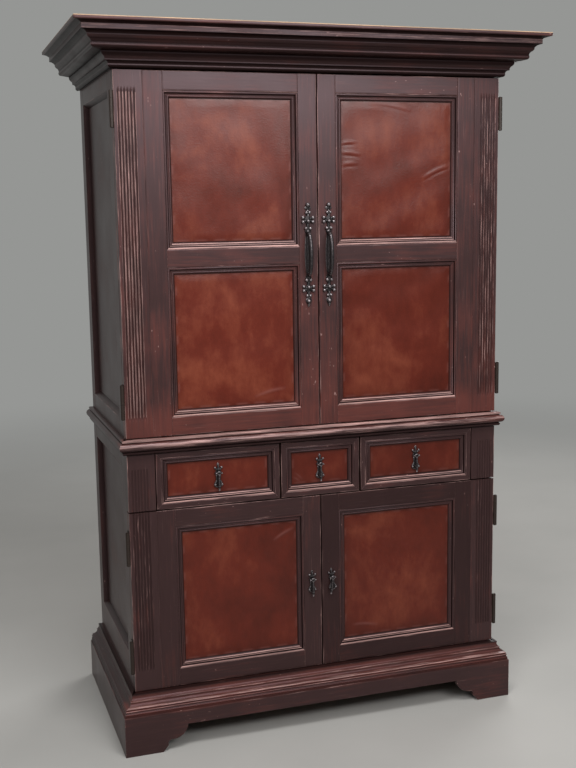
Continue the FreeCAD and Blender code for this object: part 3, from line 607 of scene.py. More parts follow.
def pilaster_tree():
    """Board whose face is cut by round-ended flutes: the groove follows the nearest flute's distance."""
    tree, given = node_group("Fluted pilaster", (
        "Width", "Height", "Thickness", "Flutes", "Pitch", "Radius", "Depth", "Flute line", "Foot", "Head", "Ease",
        "Outer side", "Rub", "Grime", "Seed"), ("Flutes",))
    (_, width, height, thickness, flutes, pitch, radius, depth, line, foot, head, ease,
     outer, rubbing, dirt_and_shade, seed, *_) = given
    face = add(tree, "MeshGrid", {"Size X": width, "Size Y": height, "Vertices X": 165, "Vertices Y": 120})
    x, y, _ = add(tree, "SeparateXYZ", [("InputPosition",)]).outputs
    # The cutter wandered by up to half a millimetre over a hand's breadth.
    drift = ("TexNoise", {"Vector": ("CombineXYZ", [seed, y, 0.0]), "Scale": 12.0, "Detail": 2.0})
    wander = ("MapRange", [drift, 0.0, 1.0, -0.0005, 0.0005])
    across = add(tree, "Math", [("-", x, line), wander], "ADD")
    last = ("-", flutes, 1.0)
    middle = ("*", last, 0.5)
    nearest = ("ROUND", ("+", ("/", across, pitch), middle))
    nearest = ("-", ("MINIMUM", ("MAXIMUM", nearest, 0.0), last), middle)
    beside = ("-", across, ("*", nearest, pitch))
    beyond = ("MAXIMUM", ("MAXIMUM", ("-", foot, y), ("-", y, head)), 0.0)
    apart = add(tree, "VectorMath", [("CombineXYZ", [beside, beyond, 0.0])], "LENGTH").outputs["Value"]
    square = ("POWER", radius, 2.0)
    lift = ("-", radius, depth)
    inner = ("SQRT", ("MAXIMUM", ("-", square, ("POWER", apart, 2.0)), 0.0))
    groove = add(tree, "Math", [("-", inner, lift), 0.0], "MAXIMUM")
    # The long arrises are rounded off.
    size = ("*", width, 0.5)
    short = ("-", ease, ("-", size, ("ABSOLUTE", x)))
    short = ("/", ("POWER", ("MAXIMUM", short, 0.0), 2.0), ease)
    drop = ("*", ("+", groove, short), -1.0)
    # Ridges between the flutes and the outer arrises are rubbed, and the flutes are darkened with their depth: painted
    # shade with some grime.
    reach = ("SQRT", ("-", square, ("POWER", lift, 2.0)))
    ridge = ("MapRange", [("ABSOLUTE", ("-", apart, reach)), 0.0017, 0.0004])
    edge = ("MapRange", [("-", size, ("*", x, outer)), 0.005, 0.0005])
    rub = ("MAXIMUM", ("*", ridge, rubbing), edge)
    grime = ("*", ("/", groove, depth), dirt_and_shade)
    grain = ("CombineXYZ", [y, ("+", x, seed), seed])
    for key, value, kind in (("wear", rub, "FLOAT"), ("grime", grime, "FLOAT"), ("grain", grain, "FLOAT_VECTOR")):
        face = add(tree, "StoreNamedAttribute", {"Geometry": face, "Name": key, "Value": value}, data_type=kind)
    face = add(tree, "SetPosition", {"Geometry": face, "Offset": ("CombineXYZ", [0.0, 0.0, drop])})
    # The board's back and sides come from pushing the face back and flattening it.
    push = {"Offset": ("CombineXYZ", [0.0, 0.0, -1.0]), "Offset Scale": 0.004, "Individual": False}
    pushed = add(tree, "ExtrudeMesh", {"Mesh": face, **push}).outputs
    unworn = add(tree, "StoreNamedAttribute", {"Geometry": pushed["Mesh"], "Name": "wear", "Selection": pushed["Top"],
                                               "Value": 0.0})
    pushed = add(tree, "ExtrudeMesh", {"Mesh": unworn, "Selection": pushed["Top"], **push}).outputs
    flat = ("CombineXYZ", [x, y, ("*", thickness, -1.0)])
    behind = add(tree, "SetPosition", {"Geometry": pushed["Mesh"], "Selection": pushed["Top"], "Position": flat})
    both = add(tree, "JoinGeometry", [face])
    tree.links.new(add(tree, "FlipFaces", [behind]).outputs[0], both.inputs[0])
    return closed(tree, ("MergeByDistance", {"Geometry": both, "Distance": 0.00001}), given)


def moulding_tree():
    """Beaded moulding that runs round a panel's opening with mitred corners."""
    tree, given = node_group("Panel moulding", ("Width", "Height", "Moulding width", "Depth", "Seed"))
    steps = 44
    path = add(tree, "CurvePrimitiveQuadrilateral", {"Width": given["Width"], "Height": given["Height"]})
    path = add(tree, "SetCurveNormal", {"Curve": path}, mode="Z_UP")
    # The section's points go out along the front and return along the back.
    index = add(tree, "InputIndex")
    out = ("/", index, steps - 1.0)
    home = ("/", ("-", 2 * steps - 1.0, index), steps - 1.0)
    front = ("-", 1.0, ("GREATER_THAN", index, steps - 0.5))
    share = add(tree, "Math", [out, home], "MINIMUM")
    # Outer bead, quirk, a small bead in a hollow, inner bead and a slope down to the leather
    height, rub = (add(tree, "FloatCurve", {"Value": share}, curve=curve) for curve in (
        ((0.0, 0.78), (0.05, 0.92), (0.11, 0.985), (0.16, 1.0), (0.21, 0.985), (0.27, 0.92), (0.31, 0.78),
         (0.335, 0.50), (0.37, 0.43), (0.41, 0.50), (0.445, 0.54), (0.48, 0.50), (0.52, 0.42), (0.58, 0.40),
         (0.61, 0.50), (0.66, 0.60), (0.71, 0.63), (0.76, 0.60), (0.82, 0.50), (0.90, 0.26), (1.0, 0.0)),
        ((0.0, 0.3), (0.06, 0.5), (0.12, 0.9), (0.20, 0.9), (0.26, 0.3), (0.32, 0.0), (0.39, 0.0), (0.42, 0.8),
         (0.47, 0.8), (0.51, 0.0), (0.60, 0.0), (0.65, 0.6), (0.69, 0.9), (0.75, 0.9), (0.80, 0.3), (0.88, 0.0),
         (1.0, 0.0))))
    # The quirk and the slope down to the leather are darkened: painted shade, with some grime.
    quirk = ("MapRange", [("ABSOLUTE", ("-", share, 0.345)), 0.09, 0.02])
    grime = ("MAXIMUM", quirk, ("MapRange", [share, 0.86, 1.0]))
    # All four points of the path are mitred corners, where a section is the square root of two wider.
    inward = ("*", share, ("*", given["Moulding width"], -math.sqrt(2)))
    rise = ("*", ("*", height, front), ("*", given["Depth"], -1.0))
    line = add(tree, "ResampleCurve", {"Curve": ("CurvePrimitiveLine",), "Count": 2 * steps})
    line = add(tree, "SetPosition", {"Geometry": line, "Position": ("CombineXYZ", [inward, rise, 0.0])})
    line = add(tree, "SetSplineCyclic", {"Geometry": line, "Cyclic": True})
    for key, value in (("wear", rub), ("grime", grime)):
        line = add(tree, "StoreNamedAttribute", {"Geometry": line, "Name": key, "Value": value})
    swept = add(tree, "CurveToMesh", {"Curve": path, "Profile Curve": line})
    # Each face belongs to an upright member or to a level one, which has its grain along its own length.
    place = add(tree, "InputPosition")
    middle = add(tree, "FieldOnDomain", [place], data_type="FLOAT_VECTOR", domain="FACE")
    middle = add(tree, "SeparateXYZ", [middle]).outputs
    beside, above = (("MULTIPLY_ADD", given[size], -0.5, ("ABSOLUTE", middle[axis]))
                     for size, axis in (("Width", "X"), ("Height", "Y")))
    upright = add(tree, "Math", [beside, above], "GREATER_THAN")
    x, y, z = add(tree, "SeparateXYZ", [place]).outputs
    grain = add(tree, "Mix", {"Factor": upright, "A": place, "B": ("CombineXYZ", [y, x, z])}, data_type="VECTOR")
    grain = add(tree, "VectorMath", [grain, ("CombineXYZ", [given["Seed"]] * 3)], "ADD")
    # The lower member, which faces up, takes five times the wear of the other three: rubbing, and a painted highlight
    # where light from above falls on it.
    foot = ("-", ("LESS_THAN", middle["Y"], 0.0), upright)
    held = add(tree, "InputNamedAttribute", {"Name": "wear"}).outputs["Attribute"]
    held = ("*", held, ("MapRange", [foot, 0.0, 1.0, 0.5, 2.5]))
    for key, value, kind in (("grain", grain, "FLOAT_VECTOR"), ("wear", held, "FLOAT")):
        swept = add(tree, "StoreNamedAttribute", {"Geometry": swept, "Name": key, "Value": value}, data_type=kind,
                    domain="CORNER")
    return closed(tree, swept, given)


def screw_tree():
    """Slotted countersunk heads, each turned its own way, on a row of points."""
    tree, given = node_group("Slotted screws", ("Radius", "Proud", "Seed"), ("Seed",))
    radius, proud = given["Radius"], given["Proud"]
    head = ("MeshCone", {"Vertices": 20, "Radius Top": radius, "Radius Bottom": ("*", radius, 0.6),
                         "Depth": radius})
    head = ("Transform", {"Geometry": head, "Translation": ("CombineXYZ", [0.0, 0.0, ("-", proud, radius)])})
    narrow = ("*", radius, 0.28)
    slot = ("MeshCube", {"Size": ("CombineXYZ", [("*", radius, 3.0), narrow, narrow])})
    slot = ("Transform", {"Geometry": slot, "Translation": ("CombineXYZ", [0.0, 0.0, proud])})
    turn = add(tree, "RandomValue", {"Max": (0.0, 0.0, 3.14), "Seed": given["Seed"]}, data_type="FLOAT_VECTOR")
    row = ("InstanceOnPoints", {
        "Points": ("MeshToPoints", {"Mesh": given["Geometry"]}),
        "Instance": ("MeshBoolean", {"Mesh 1": head, "Mesh 2": slot}, "DIFFERENCE"), "Rotation": turn})
    return closed(tree, row, given)


def nail_tree():
    """Low round nail heads, not quite alike, on a row of points."""
    tree, given = node_group("Nail heads", ("Radius", "Rise", "Seed"), ("Seed",))
    head = ("MeshUVSphere", {"Segments": 14, "Rings": 6, "Radius": given["Radius"]})
    squash = ("CombineXYZ", [1.0, 1.0, ("/", given["Rise"], given["Radius"])])
    size = add(tree, "RandomValue", {"Min": (0.85, 0.85, 0.7), "Max": (1.1, 1.1, 1.0), "Seed": given["Seed"]},
               data_type="FLOAT_VECTOR")
    row = ("InstanceOnPoints", {
        "Points": ("MeshToPoints", {"Mesh": given["Geometry"]}),
        "Instance": ("Transform", {"Geometry": head, "Scale": squash}), "Scale": size})
    return closed(tree, row, given)


def fluted_pilaster(name, tree, side, z, flutes, back, wear, body, node, seed):
    """Outer upright board of a door, or an end block of the drawer row."""
    sizes = bpy.context.scene.armoire_sizes
    middle = sum(z) / 2
    rub, grime, open_share = wear
    mesh = grown(tree, {
        "Width": PILASTER_WIDTH * MM, "Height": (z[1] - z[0]) * MM, "Thickness": (back - Y_FRONT) * MM,
        "Flutes": sizes.flutes, "Pitch": sizes.flute_pitch, "Radius": sizes.flute_radius,
        "Depth": open_share * sizes.flute_depth, "Flute line": side * (FLUTE_LINE - HALF + PILASTER_WIDTH / 2) * MM,
        "Foot": (flutes[0] - middle) * MM, "Head": (flutes[1] - middle) * MM, "Ease": sizes.ease,
        "Outer side": float(side), "Rub": rub, "Grime": grime, "Seed": float(seed)}, name, "paint")
    grown_piece(name, mesh, at(side * (HALF - PILASTER_WIDTH / 2), Y_FRONT, middle) @ UPRIGHT, body, [node])


def panel_moulding(name, tree, x, z, width, body, node, seed):
    """Moulding round one leather panel."""
    mesh = grown(tree, {"Width": (x[1] - x[0]) * MM, "Height": (z[1] - z[0]) * MM, "Moulding width": width,
                        "Depth": LEATHER_RECESS * MM, "Seed": float(seed)}, name, "paint")
    grown_piece(name, mesh, at(sum(x) / 2, Y_LEATHER, sum(z) / 2) @ UPRIGHT, body, [node], crease=50)


def inset_span(span):
    """What a drawer's border leaves open of a width or height."""
    return span[0] + DRAWER_BORDER, span[1] - DRAWER_BORDER


def door_boards(side, z, panels, seed, grime):
    """Stiles, rails and leather backers of one door."""
    y = (Y_FRONT, Y_DOOR_BACK)
    inward, outward = ("x0", "x1") if side > 0 else ("x1", "x0")
    rail = (side * INNER_STILE, side * OUTER_STILE)
    shapes = [eased_board((side * MEETING_EDGE, rail[0]), y, z, 2, seed, (outward,), grime=grime),
              eased_board((rail[1], side * PILASTER_EDGE), y, z, 2, seed + 1, (inward, outward), grime=grime)]
    levels = [z[0], *(level for panel in panels for level in panel), z[1]]
    for k, level in enumerate(zip(levels[0::2], levels[1::2])):
        shapes.append(eased_board(rail, y, level, 0, seed + 2 + k, ("x0", "x1"), grime=grime))
    for k, panel in enumerate(panels):
        shapes.append(eased_board(rail, Y_BACKER, panel, 2, seed + 6 + k, (), BACKER_WEAR, finish=1))
    return shapes


def leather_sheet(x, z, pucker, seed, painted_shade, creases=()):
    """Hide over a backer: slack in slow waves, drawn at its border, with creases as (x, z) lines; painted_shade
    darkens all of it as painted shade.
    """
    chance = np.random.default_rng(seed)
    wide, tall = x[1] - x[0], z[1] - z[0]
    across, up = int(wide / HIDE_STEP), int(tall / HIDE_STEP)
    u, v = np.meshgrid(np.linspace(0, wide, across + 1), np.linspace(0, tall, up + 1), indexing="ij")
    beside, above = np.minimum(u, wide - u), np.minimum(v, tall - v)
    edge = np.minimum(beside, above)
    rise = np.zeros_like(u)
    for _ in range(HIDE_WAVES):
        angle = chance.uniform(0, math.pi)
        length = chance.uniform(90, 260)
        phase = chance.uniform(0, 2 * math.pi)
        rise += np.sin((u * math.cos(angle) + v * math.sin(angle)) / length * 2 * math.pi + phase) / HIDE_WAVES
    ripple = np.sin(u / 34 + 2 * np.sin(v / 90)) * np.exp(-above / 26)
    ripple += np.sin(v / 37 + 2 * np.sin(u / 80)) * np.exp(-beside / 26)
    rise = 0.55 + rise + 0.22 * ripple
    # Each crease's ridge is also painted pale, as a painted highlight carried into the wear values.
    light = np.zeros_like(u)
    for first, last, width, height in creases:
        du, dv = u - (first[0] - x[0]), v - (first[1] - z[0])
        run = np.subtract(last, first)
        length = np.linalg.norm(run)
        share = (du * run[0] + dv * run[1]) / (run @ run)
        held = np.clip(share, 0, 1)
        side = (du * -run[1] + dv * run[0]) / length - 0.04 * np.sin(held * math.pi) * length
        far = np.hypot(side, (share - held) * length)
        fade = np.sin(np.clip(held, 0.04, 0.96) * math.pi) ** 0.5
        hollow = np.exp(-((side + 1.5 * width) / width) ** 2) * np.exp(-((share - held) * 9) ** 2)
        rise += height * fade * (np.exp(-(far / width) ** 2) - 0.7 * hollow)
        light = np.maximum(light, 0.5 * fade * np.exp(-(far / (0.7 * width)) ** 2))
    held = np.clip((edge - 15) / 30, 0, 1)
    rise *= pucker * held * held * (3 - 2 * held)
    points = np.stack([x[0] + u, Y_LEATHER - rise, z[0] + v], axis=-1).reshape(-1, 3)
    ids = np.arange(u.size).reshape(u.shape)
    rim = np.concatenate([ids[:, 0], ids[-1, 1:], ids[-2::-1, -1], ids[0, -2:0:-1]])
    count = len(rim)
    behind = len(points) + np.arange(count)
    faces = quads(ids) + band(rim, behind) + [behind.tolist()]
    points = np.concatenate([points, points[rim] + (0, LEATHER_THICKNESS, 0)])
    # Along the moulding the hide is darkened, with dirt and with the moulding's painted shadow, and it is frayed there
    # as well.
    inset = np.clip(edge - 18, 0, None)
    dirt_and_shade = painted_shade + 0.45 * np.exp(-inset / 3.5) + 0.2 * np.exp(-inset / 22) + 0.1 * np.exp(-inset / 60)
    frayed = np.clip(np.sin(u / 9 + 3 * np.sin(v / 23)) + np.sin(v / 11), 0, 1)
    frayed = 0.5 * np.exp(-((edge - 24) / 3.0) ** 2) * frayed
    grime = np.concatenate([np.clip(dirt_and_shade, 0, 1).ravel(), np.ones(count)])
    wear = np.concatenate([np.maximum(light, frayed).ravel(), np.zeros(count)])
    return Shape(points, faces, wear, grime, points + grain_offset(seed))


class Casting:
    """Iron casting put together from overlapping lumps and fused into one skin."""

    def __init__(self):
        self.mesh = bmesh.new()

    def ball(self, centre, radii):
        """Ball or flattened lump at (across, up, out)."""
        place = Matrix.Translation(Vector(centre)) @ Matrix.Diagonal(Vector((*np.broadcast_to(radii, 3), 1.0)))
        bmesh.ops.create_icosphere(self.mesh, subdivisions=3, radius=1.0, matrix=place)

    def rod(self, points, radii):
        """Bar of changing radius through points, with rounded joints."""
        points = [Vector(p) for p in points]
        for first, last, r0, r1 in zip(points, points[1:], radii, radii[1:]):
            run = last - first
            turn = run.to_track_quat("Z", "Y").to_matrix().to_4x4()
            bmesh.ops.create_cone(self.mesh, cap_ends=True, segments=20, radius1=r0, radius2=r1, depth=run.length,
                                  matrix=Matrix.Translation((first + last) / 2) @ turn)
        for point, radius in zip(points, radii):
            self.ball(point, radius)

    def fused(self, name, grid):
        """One closed mesh in the casting's own millimetres, smoothed as if from a sand mould."""
        mesh = bpy.data.meshes.new(name)
        self.mesh.to_mesh(mesh)
        self.mesh.free()
        obj = linked(name, mesh)
        remesh = obj.modifiers.new("fuse", "REMESH")
        remesh.mode = "VOXEL"
        remesh.voxel_size = grid
        smooth = obj.modifiers.new("smooth", "SMOOTH")
        smooth.factor = 0.5
        smooth.iterations = 3
        return baked(obj)


def cast_piece(name, mesh, place, body, node):
    """Iron piece in its place, with its swellings marked as rubbed."""
    work = bmesh.new()
    work.from_mesh(mesh)
    work.normal_update()
    swell = np.array([sum(((v.co - e.other_vert(v).co).dot(v.normal) for e in v.link_edges), 0.0) for v in work.verts])
    work.free()
    wear = np.clip(swell / max(np.percentile(swell, 97), 1e-6), 0, 1)
    mesh.attributes.new("wear", "FLOAT", "POINT").data.foreach_set("value", wear.astype(np.float32))
    mesh.materials.clear()
    mesh.materials.append(finish("iron"))
    grown_piece(name, mesh, place @ UPRIGHT @ Matrix.Scale(MM, 4), body, [node], 180)


def long_pull_mesh():
    """Bowed grip between two flower clusters, each with paired beads, under a ball and over a leaf."""
    pull = Casting()
    pull.ball((0, 0, 0.6), (10.5, 70, 2.6))
    pull.rod([(0, -120, 1.5), (0, 120, 1.5)], [5.0, 5.0])
    turns = np.linspace(-1.45, 1.45, 15)
    pull.rod([(0, 62 * math.sin(t), 7 + 23 * math.cos(t) ** 0.8) for t in turns],
             [4.9 + 1.6 * math.cos(t) for t in turns])
    for s in (-1, 1):
        pull.rod([(0, s * 66, 2), (0, s * 60, 9)], [8.0, 5.2])
        pull.ball((0, s * 70, 2), (10, 8, 4.5))
        for side in (-1, 1):
            pull.ball((side * 6.6, s * 77, 5.0), 5.2)
            for z in (96.0, 108.5):
                pull.ball((side * 15.6, s * z, 4.0), 5.4)
                pull.rod([(side * 3, s * 102, 2.5), (side * 14, s * z, 2.5)], [4.2, 3.6])
            pull.ball((side * 4.8, s * 123.5, 4.5), 4.6)
        pull.ball((0, s * 102, 3.0), (8.5, 14, 4.8))
        pull.ball((0, s * 98, 6.5), 5.4)
        pull.rod([(0, s * 112, 3), (0, s * 128, 3)], [4.0, 3.4])
    pull.ball((0, 137, 2.0), (10.5, 6.5, 3.8))
    pull.ball((0, 146, 4.4), 7.0)
    pull.ball((0, -138, 2.0), (10.0, 10.0, 4.4))
    pull.rod([(0, -140, 3), (0, -148, 2.6), (0, -157, 1.8)], [7.0, 4.6, 1.4])
    return pull.fused("long_pull", 0.9)


def drop_plate_mesh():
    """Lyre-shaped back plate: leaf, two ears, a narrow waist and two lobes with beads; the pin is at its origin."""
    plate = Casting()
    plate.ball((0, 24, 1.2), (4.6, 6.0, 2.6))
    plate.rod([(0, 24, 1.5), (0, 31, 1.2)], [2.6, 0.9])
    plate.rod([(0, 24, 1.5), (0, 10, 1.5)], [3.0, 4.0])
    plate.ball((0, 2, 0.8), (8.5, 12, 2.4))
    plate.ball((0, -14, 1.0), (6.6, 22, 3.4))
    plate.rod([(0, -12, 1.2), (0, -34, 1.4)], [3.0, 4.2])
    for side in (-1, 1):
        plate.rod([(side * 2, 9, 1.6), (side * 8, 13, 2.0), (side * 11.5, 18.5, 2.0)], [3.4, 3.2, 1.6])
        plate.ball((side * 10.2, 16.2, 3.2), 3.5)
        plate.rod([(side * 5.5, -8, 1.4), (side * 5.0, -22, 1.5), (side * 9.0, -31, 2.0)], [2.6, 2.2, 2.8])
        plate.ball((side * 8.5, -36, 1.6), (5.6, 8.0, 2.6))
        plate.ball((side * 10.4, -36.5, 3.6), 4.0)
        plate.rod([(side * 6, -42, 1.4), (0, -45, 1.4)], [3.0, 2.4])
        # Lug that holds the drop's ring by its side
        plate.rod([(side * 9.0, 0, 1.0), (side * 9.0, 0, 12.6)], [2.6, 2.2])
        plate.rod([(side * 9.0, 0, DROP_PIN), (side * 8.5, 0, DROP_PIN)], [1.6, 1.4])
    return plate.fused("drop_plate", 0.6)


def drop_mesh():
    """Hanging drop: a ring, a slim neck, a long belly and a tip; the pin is at its origin."""
    drop = Casting()
    turns = [2 * math.pi * k / 20 for k in range(21)]
    drop.rod([(4.3 * math.cos(a), 4.3 * math.sin(a), 0) for a in turns], [2.1] * 21)
    drop.rod([(0, -5.5, 0), (0, -12, 0), (0, -26, 0), (0, -38, 0), (0, -45, 0), (0, -48.5, 0)],
             [2.7, 2.7, 3.8, 5.0, 3.8, 2.0])
    drop.ball((0, -51, 0), (3.0, 3.2, 3.0))
    return drop.fused("drop", 0.5)


class ARMOIRE_OT_stage(bpy.types.Operator):
    """Lays the floor, sets the lamps and stands the camera where the armoire is seen from"""

    bl_idname = "armoire.stage"
    bl_label = "Stage"

    def execute(self, context):
        scene = context.scene
        mesh = bpy.data.meshes.new("floor")
        mesh.from_pydata([(-14, -14, 0), (14, -14, 0), (14, 14, 0), (-14, 14, 0)], [], [[0, 1, 2, 3]])
        mesh.materials.append(finish("floor"))
        floor = linked("floor", mesh)
        world = bpy.data.worlds.new("soft_room")
        world.use_nodes = True
        world.node_tree.nodes.clear()
        tree = world.node_tree
        light, view = (("Background", [colour, strength]) for colour, strength in (
            (scene.armoire_colours.room, 0.24), (scene.armoire_colours.backdrop, 1.0)))
        add(tree, "OutputWorld", {"Surface": ("MixShader", [seen_ray(tree), light, view])})
        scene.world = world
        lamps = (("strip", (0.7, -3.6, 2.65), (0.1, -0.2, 1.45), 2.4, 0.8, 70.0),
                 ("key", (-2.2, -2.7, 2.7), (-0.2, -0.2, 1.2), 1.6, 1.6, 30.0),
                 ("ceiling", (-0.5, -1.9, 3.9), (-0.1, -0.4, 1.2), 2.0, 0.9, 80.0),
                 ("rear", (2.6, 2.8, 3.2), (0.0, 0.1, 1.0), 2.4, 2.4, 90.0))
        for name, place, target, wide, tall, power in lamps:
            lamp = bpy.data.lights.new(name, "AREA")
            lamp.shape = "RECTANGLE"
            lamp.size, lamp.size_y = wide, tall
            lamp.energy = power
            obj = linked(name, lamp)
            obj.location = place
            obj.rotation_euler = (Vector(target) - Vector(place)).to_track_quat("-Z", "Y").to_euler()
        camera = bpy.data.cameras.new("camera")
        camera.lens = 52.82
        camera.sensor_width = 36.0
        scene.camera = linked("camera", camera)
        scene.camera.location = (-1.158, -3.4513, 1.6159)
        scene.camera.rotation_euler = [math.radians(a) for a in (81.167, 0.862, -18.407)]
        scene.view_settings.view_transform = "Standard"
        return {"FINISHED"}


class ARMOIRE_OT_doors(bpy.types.Operator):
    """Builds the boards, fluted pilasters and panel mouldings of the four doors"""

    bl_idname = "armoire.doors"
    bl_label = "Doors"

    def execute(self, context):
        flutes, beads = pilaster_tree(), moulding_tree()
        for k, (name, side, z, panels, ends) in enumerate(DOORS):
            seed = 20 * (k + 1)
            piece(name + "_boards", door_boards(side, z, panels, seed, DOOR_SHADE[k]), name, [name + "_frame"],
                  ("paint", "inside upright"))
            fluted_pilaster(name + "_pilaster", flutes, side, z, ends, Y_DOOR_BACK, FLUTE_WEAR[k], name,
                            name + "_frame", seed + 9)
            x = sorted((side * INNER_STILE, side * OUTER_STILE))
            for part, panel in enumerate(panels):
                panel_moulding(f"{name}_moulding_{part + 1}", beads, x, panel, context.scene.armoire_sizes.moulding,
                               name, name + "_mouldings", seed + 10 + part)
        for side, word in SIDES:
            fluted_pilaster(f"{word}_end_block", flutes, side, Z_DRAWERS, BLOCK_FLUTES, Y_CASE, BLOCK_WEAR, "carcass",
                            "drawer_end_blocks", 110 + side)
        return {"FINISHED"}


class ARMOIRE_OT_drawers(bpy.types.Operator):
    """Builds the framed drawer fronts and stains their boxes"""

    bl_idname = "armoire.drawers"
    bl_label = "Drawers"

    def execute(self, context):
        beads = bpy.data.node_groups["Panel moulding"]
        y, z = (Y_FRONT, Y_DOOR_BACK), Z_DRAWERS
        for k, (name, *x) in enumerate(DRAWERS):
            seed = 200 + 20 * k
            inner_x, inner_z = inset_span(x), inset_span(z)
            shapes = []
            for part in range(2):
                bar = eased_board((x[part], inner_x[part]), y, z, 2, seed + part, ("z0", "z1"))
                shapes.append(mitred(bar, 2, 0, sum(z) / 2, (z[1] - z[0]) / 2, x[part], 1 - 2 * part))
            for part in range(2):
                bar = eased_board(x, y, (z[part], inner_z[part]), 0, seed + 2 + part, ("x0", "x1"))
                shapes.append(mitred(bar, 0, 2, sum(x) / 2, (x[1] - x[0]) / 2, z[part], 1 - 2 * part))
            shapes.append(eased_board(inner_x, Y_BACKER, inner_z, 0, seed + 4, (), BACKER_WEAR, finish=1))
            piece(name + "_boards", shapes, name, [name + "_front"], ("paint", "inside across"))
            panel_moulding(name + "_moulding", beads, inner_x, inner_z, context.scene.armoire_sizes.drawer_moulding,
                           name, name + "_front", seed + 5)
            paint_node(name + "_box", "inside deep")
        return {"FINISHED"}


class ARMOIRE_OT_leather(bpy.types.Operator):
    """Lays a hide over each panel of the doors and drawers"""

    bl_idname = "armoire.leather"
    bl_label = "Leather panels"

    def execute(self, context):
        pucker = context.scene.armoire_sizes.pucker / MM
        creases = {
            "upper_right_door_2": (((76, 1806), (120, 1810), 4.0, 0.8), ((76, 1780), (135, 1775), 5.0, 0.8),
                                   ((78, 1744), (125, 1748), 5.0, 0.7), ((352, 1706), (440, 1742), 5.0, 0.9),
                                   ((150, 1928), (300, 1908), 6.0, 0.4)),
            "upper_left_door_1": (((-200, 1060), (-110, 1080), 6.0, 0.4),),
            "lower_left_door_1": (((-150, 610), (-90, 640), 6.0, 0.5),),
            "lower_right_door_1": (((110, 300), (190, 290), 6.0, 0.4),),
            "centre_drawer": (((-86, 800), (-66, 786), 4.0, 0.3), ((-80, 812), (-58, 792), 3.0, 0.3)),
        }
        # Painted shade on each hide: darker towards the armoire's right, where the light is weaker
        hide_shades = {"upper_left_door_1": 0.0, "upper_left_door_2": 0.05, "upper_right_door_1": 0.18,
                "upper_right_door_2": 0.14, "lower_left_door_1": 0.1, "lower_right_door_1": 0.22,
                "left_drawer": 0.05, "centre_drawer": 0.2, "right_drawer": 0.25}
        for k, (name, side, _, panels, _) in enumerate(DOORS):
            x = sorted((side * INNER_STILE, side * OUTER_STILE))
            for part, panel in enumerate(panels):
                key = f"{name}_{part + 1}"
                self.lay(f"{name}_hide_{part + 1}", x, panel, pucker, 300 + 10 * k + part, hide_shades[key],
                         creases.get(key, ()), name)
        for k, (name, *x) in enumerate(DRAWERS):
            self.lay(name + "_hide", inset_span(x), inset_span(Z_DRAWERS), 0.5 * pucker, 350 + k, hide_shades[name],
                     creases.get(name, ()), name)
        return {"FINISHED"}

    def lay(self, label, x, z, pucker, seed, painted_shade, creases, body):
        """One sheet in place of its door's or drawer's leather."""
        hide = piece(label, [leather_sheet(x, z, pucker, seed, painted_shade, creases)], body, [body + "_leather"],
                     ("leather",), 60)


class ARMOIRE_OT_pulls(bpy.types.Operator):
    """Casts the long pulls, the plates and the hanging drops"""

    bl_idname = "armoire.pulls"
    bl_label = "Pulls"

    def execute(self, context):
        long_pull, plate, drop = long_pull_mesh(), drop_plate_mesh(), drop_mesh()
        for side, word in SIDES:
            name = f"upper_{word}_door"
            cast_piece(name + "_long_pull", long_pull.copy(), at(side * PULL_LINE, Y_FRONT, LONG_PULL_HEIGHT), name,
                       name + "_pull")
        # Place of each plate's pin, size of the plate, and how far plate and drop lean
        hung = [(name, sum(x) / 2, Y_LEATHER, DRAWER_PULL_HEIGHT, 1.0, 0.0, 0.0) for name, *x in DRAWERS]
        hung.append(("lower_left_door", -PULL_LINE, Y_FRONT, DOOR_PULL_HEIGHT, 0.92, 0.0, 0.0))
        hung.append(("lower_right_door", PULL_LINE, Y_FRONT, DOOR_PULL_HEIGHT, 0.92, -5.0, 8.0))
        for name, x, y, z, size, lean, tilt in hung:
            turned, swung = (Matrix.Rotation(math.radians(angle), 4, "Y") for angle in (lean, tilt))
            shrink = Matrix.Diagonal(Vector((size, 1.0, size, 1.0)))
            cast_piece(name + "_back_plate", plate.copy(), at(x, y, z) @ turned @ shrink, name, name + "_pull_plate")
            cast_piece(name + "_hanging_drop", drop.copy(), at(x, y - DROP_PIN, z) @ swung, name + "_drop",
                       name + "_drop")
        return {"FINISHED"}


class ARMOIRE_OT_hinges(bpy.types.Operator):
    """Blackens the butt hinges and drives their screws"""

    bl_idname = "armoire.hinges"
    bl_label = "Hinges"

    def execute(self, context):
        tree = screw_tree()
        values = {"Radius": context.scene.armoire_sizes.screw, "Proud": SCREW_RISE, "Seed": 5}
        paint_node("case_hinge_leaves", "steel")
        case_points = []
        for name, side, z, _, _ in DOORS:
            paint_node(name + "_hinge_leaves", "steel")
            points = [(side * (HALF - inward) * MM, (foot + rise) * MM, 0.0) for foot in HINGE_FEET
                      if z[0] < foot < z[1] for rise, inward in HINGE_SCREWS]
            case_points += points
            screws = grown(tree, values, name, "steel", [(-across, up, out) for across, up, out in points])
            grown_piece(name + "_hinge_screws", screws, at(0, Y_DOOR_BACK + HINGE_LEAF, 0) @ BACKWARD, name, [])
        screws = grown(tree, values, "case", "steel", case_points)
        grown_piece("case_hinge_screws", screws, at(0, Y_CASE - HINGE_LEAF, 0) @ UPRIGHT, "carcass", [])
        return {"FINISHED"}


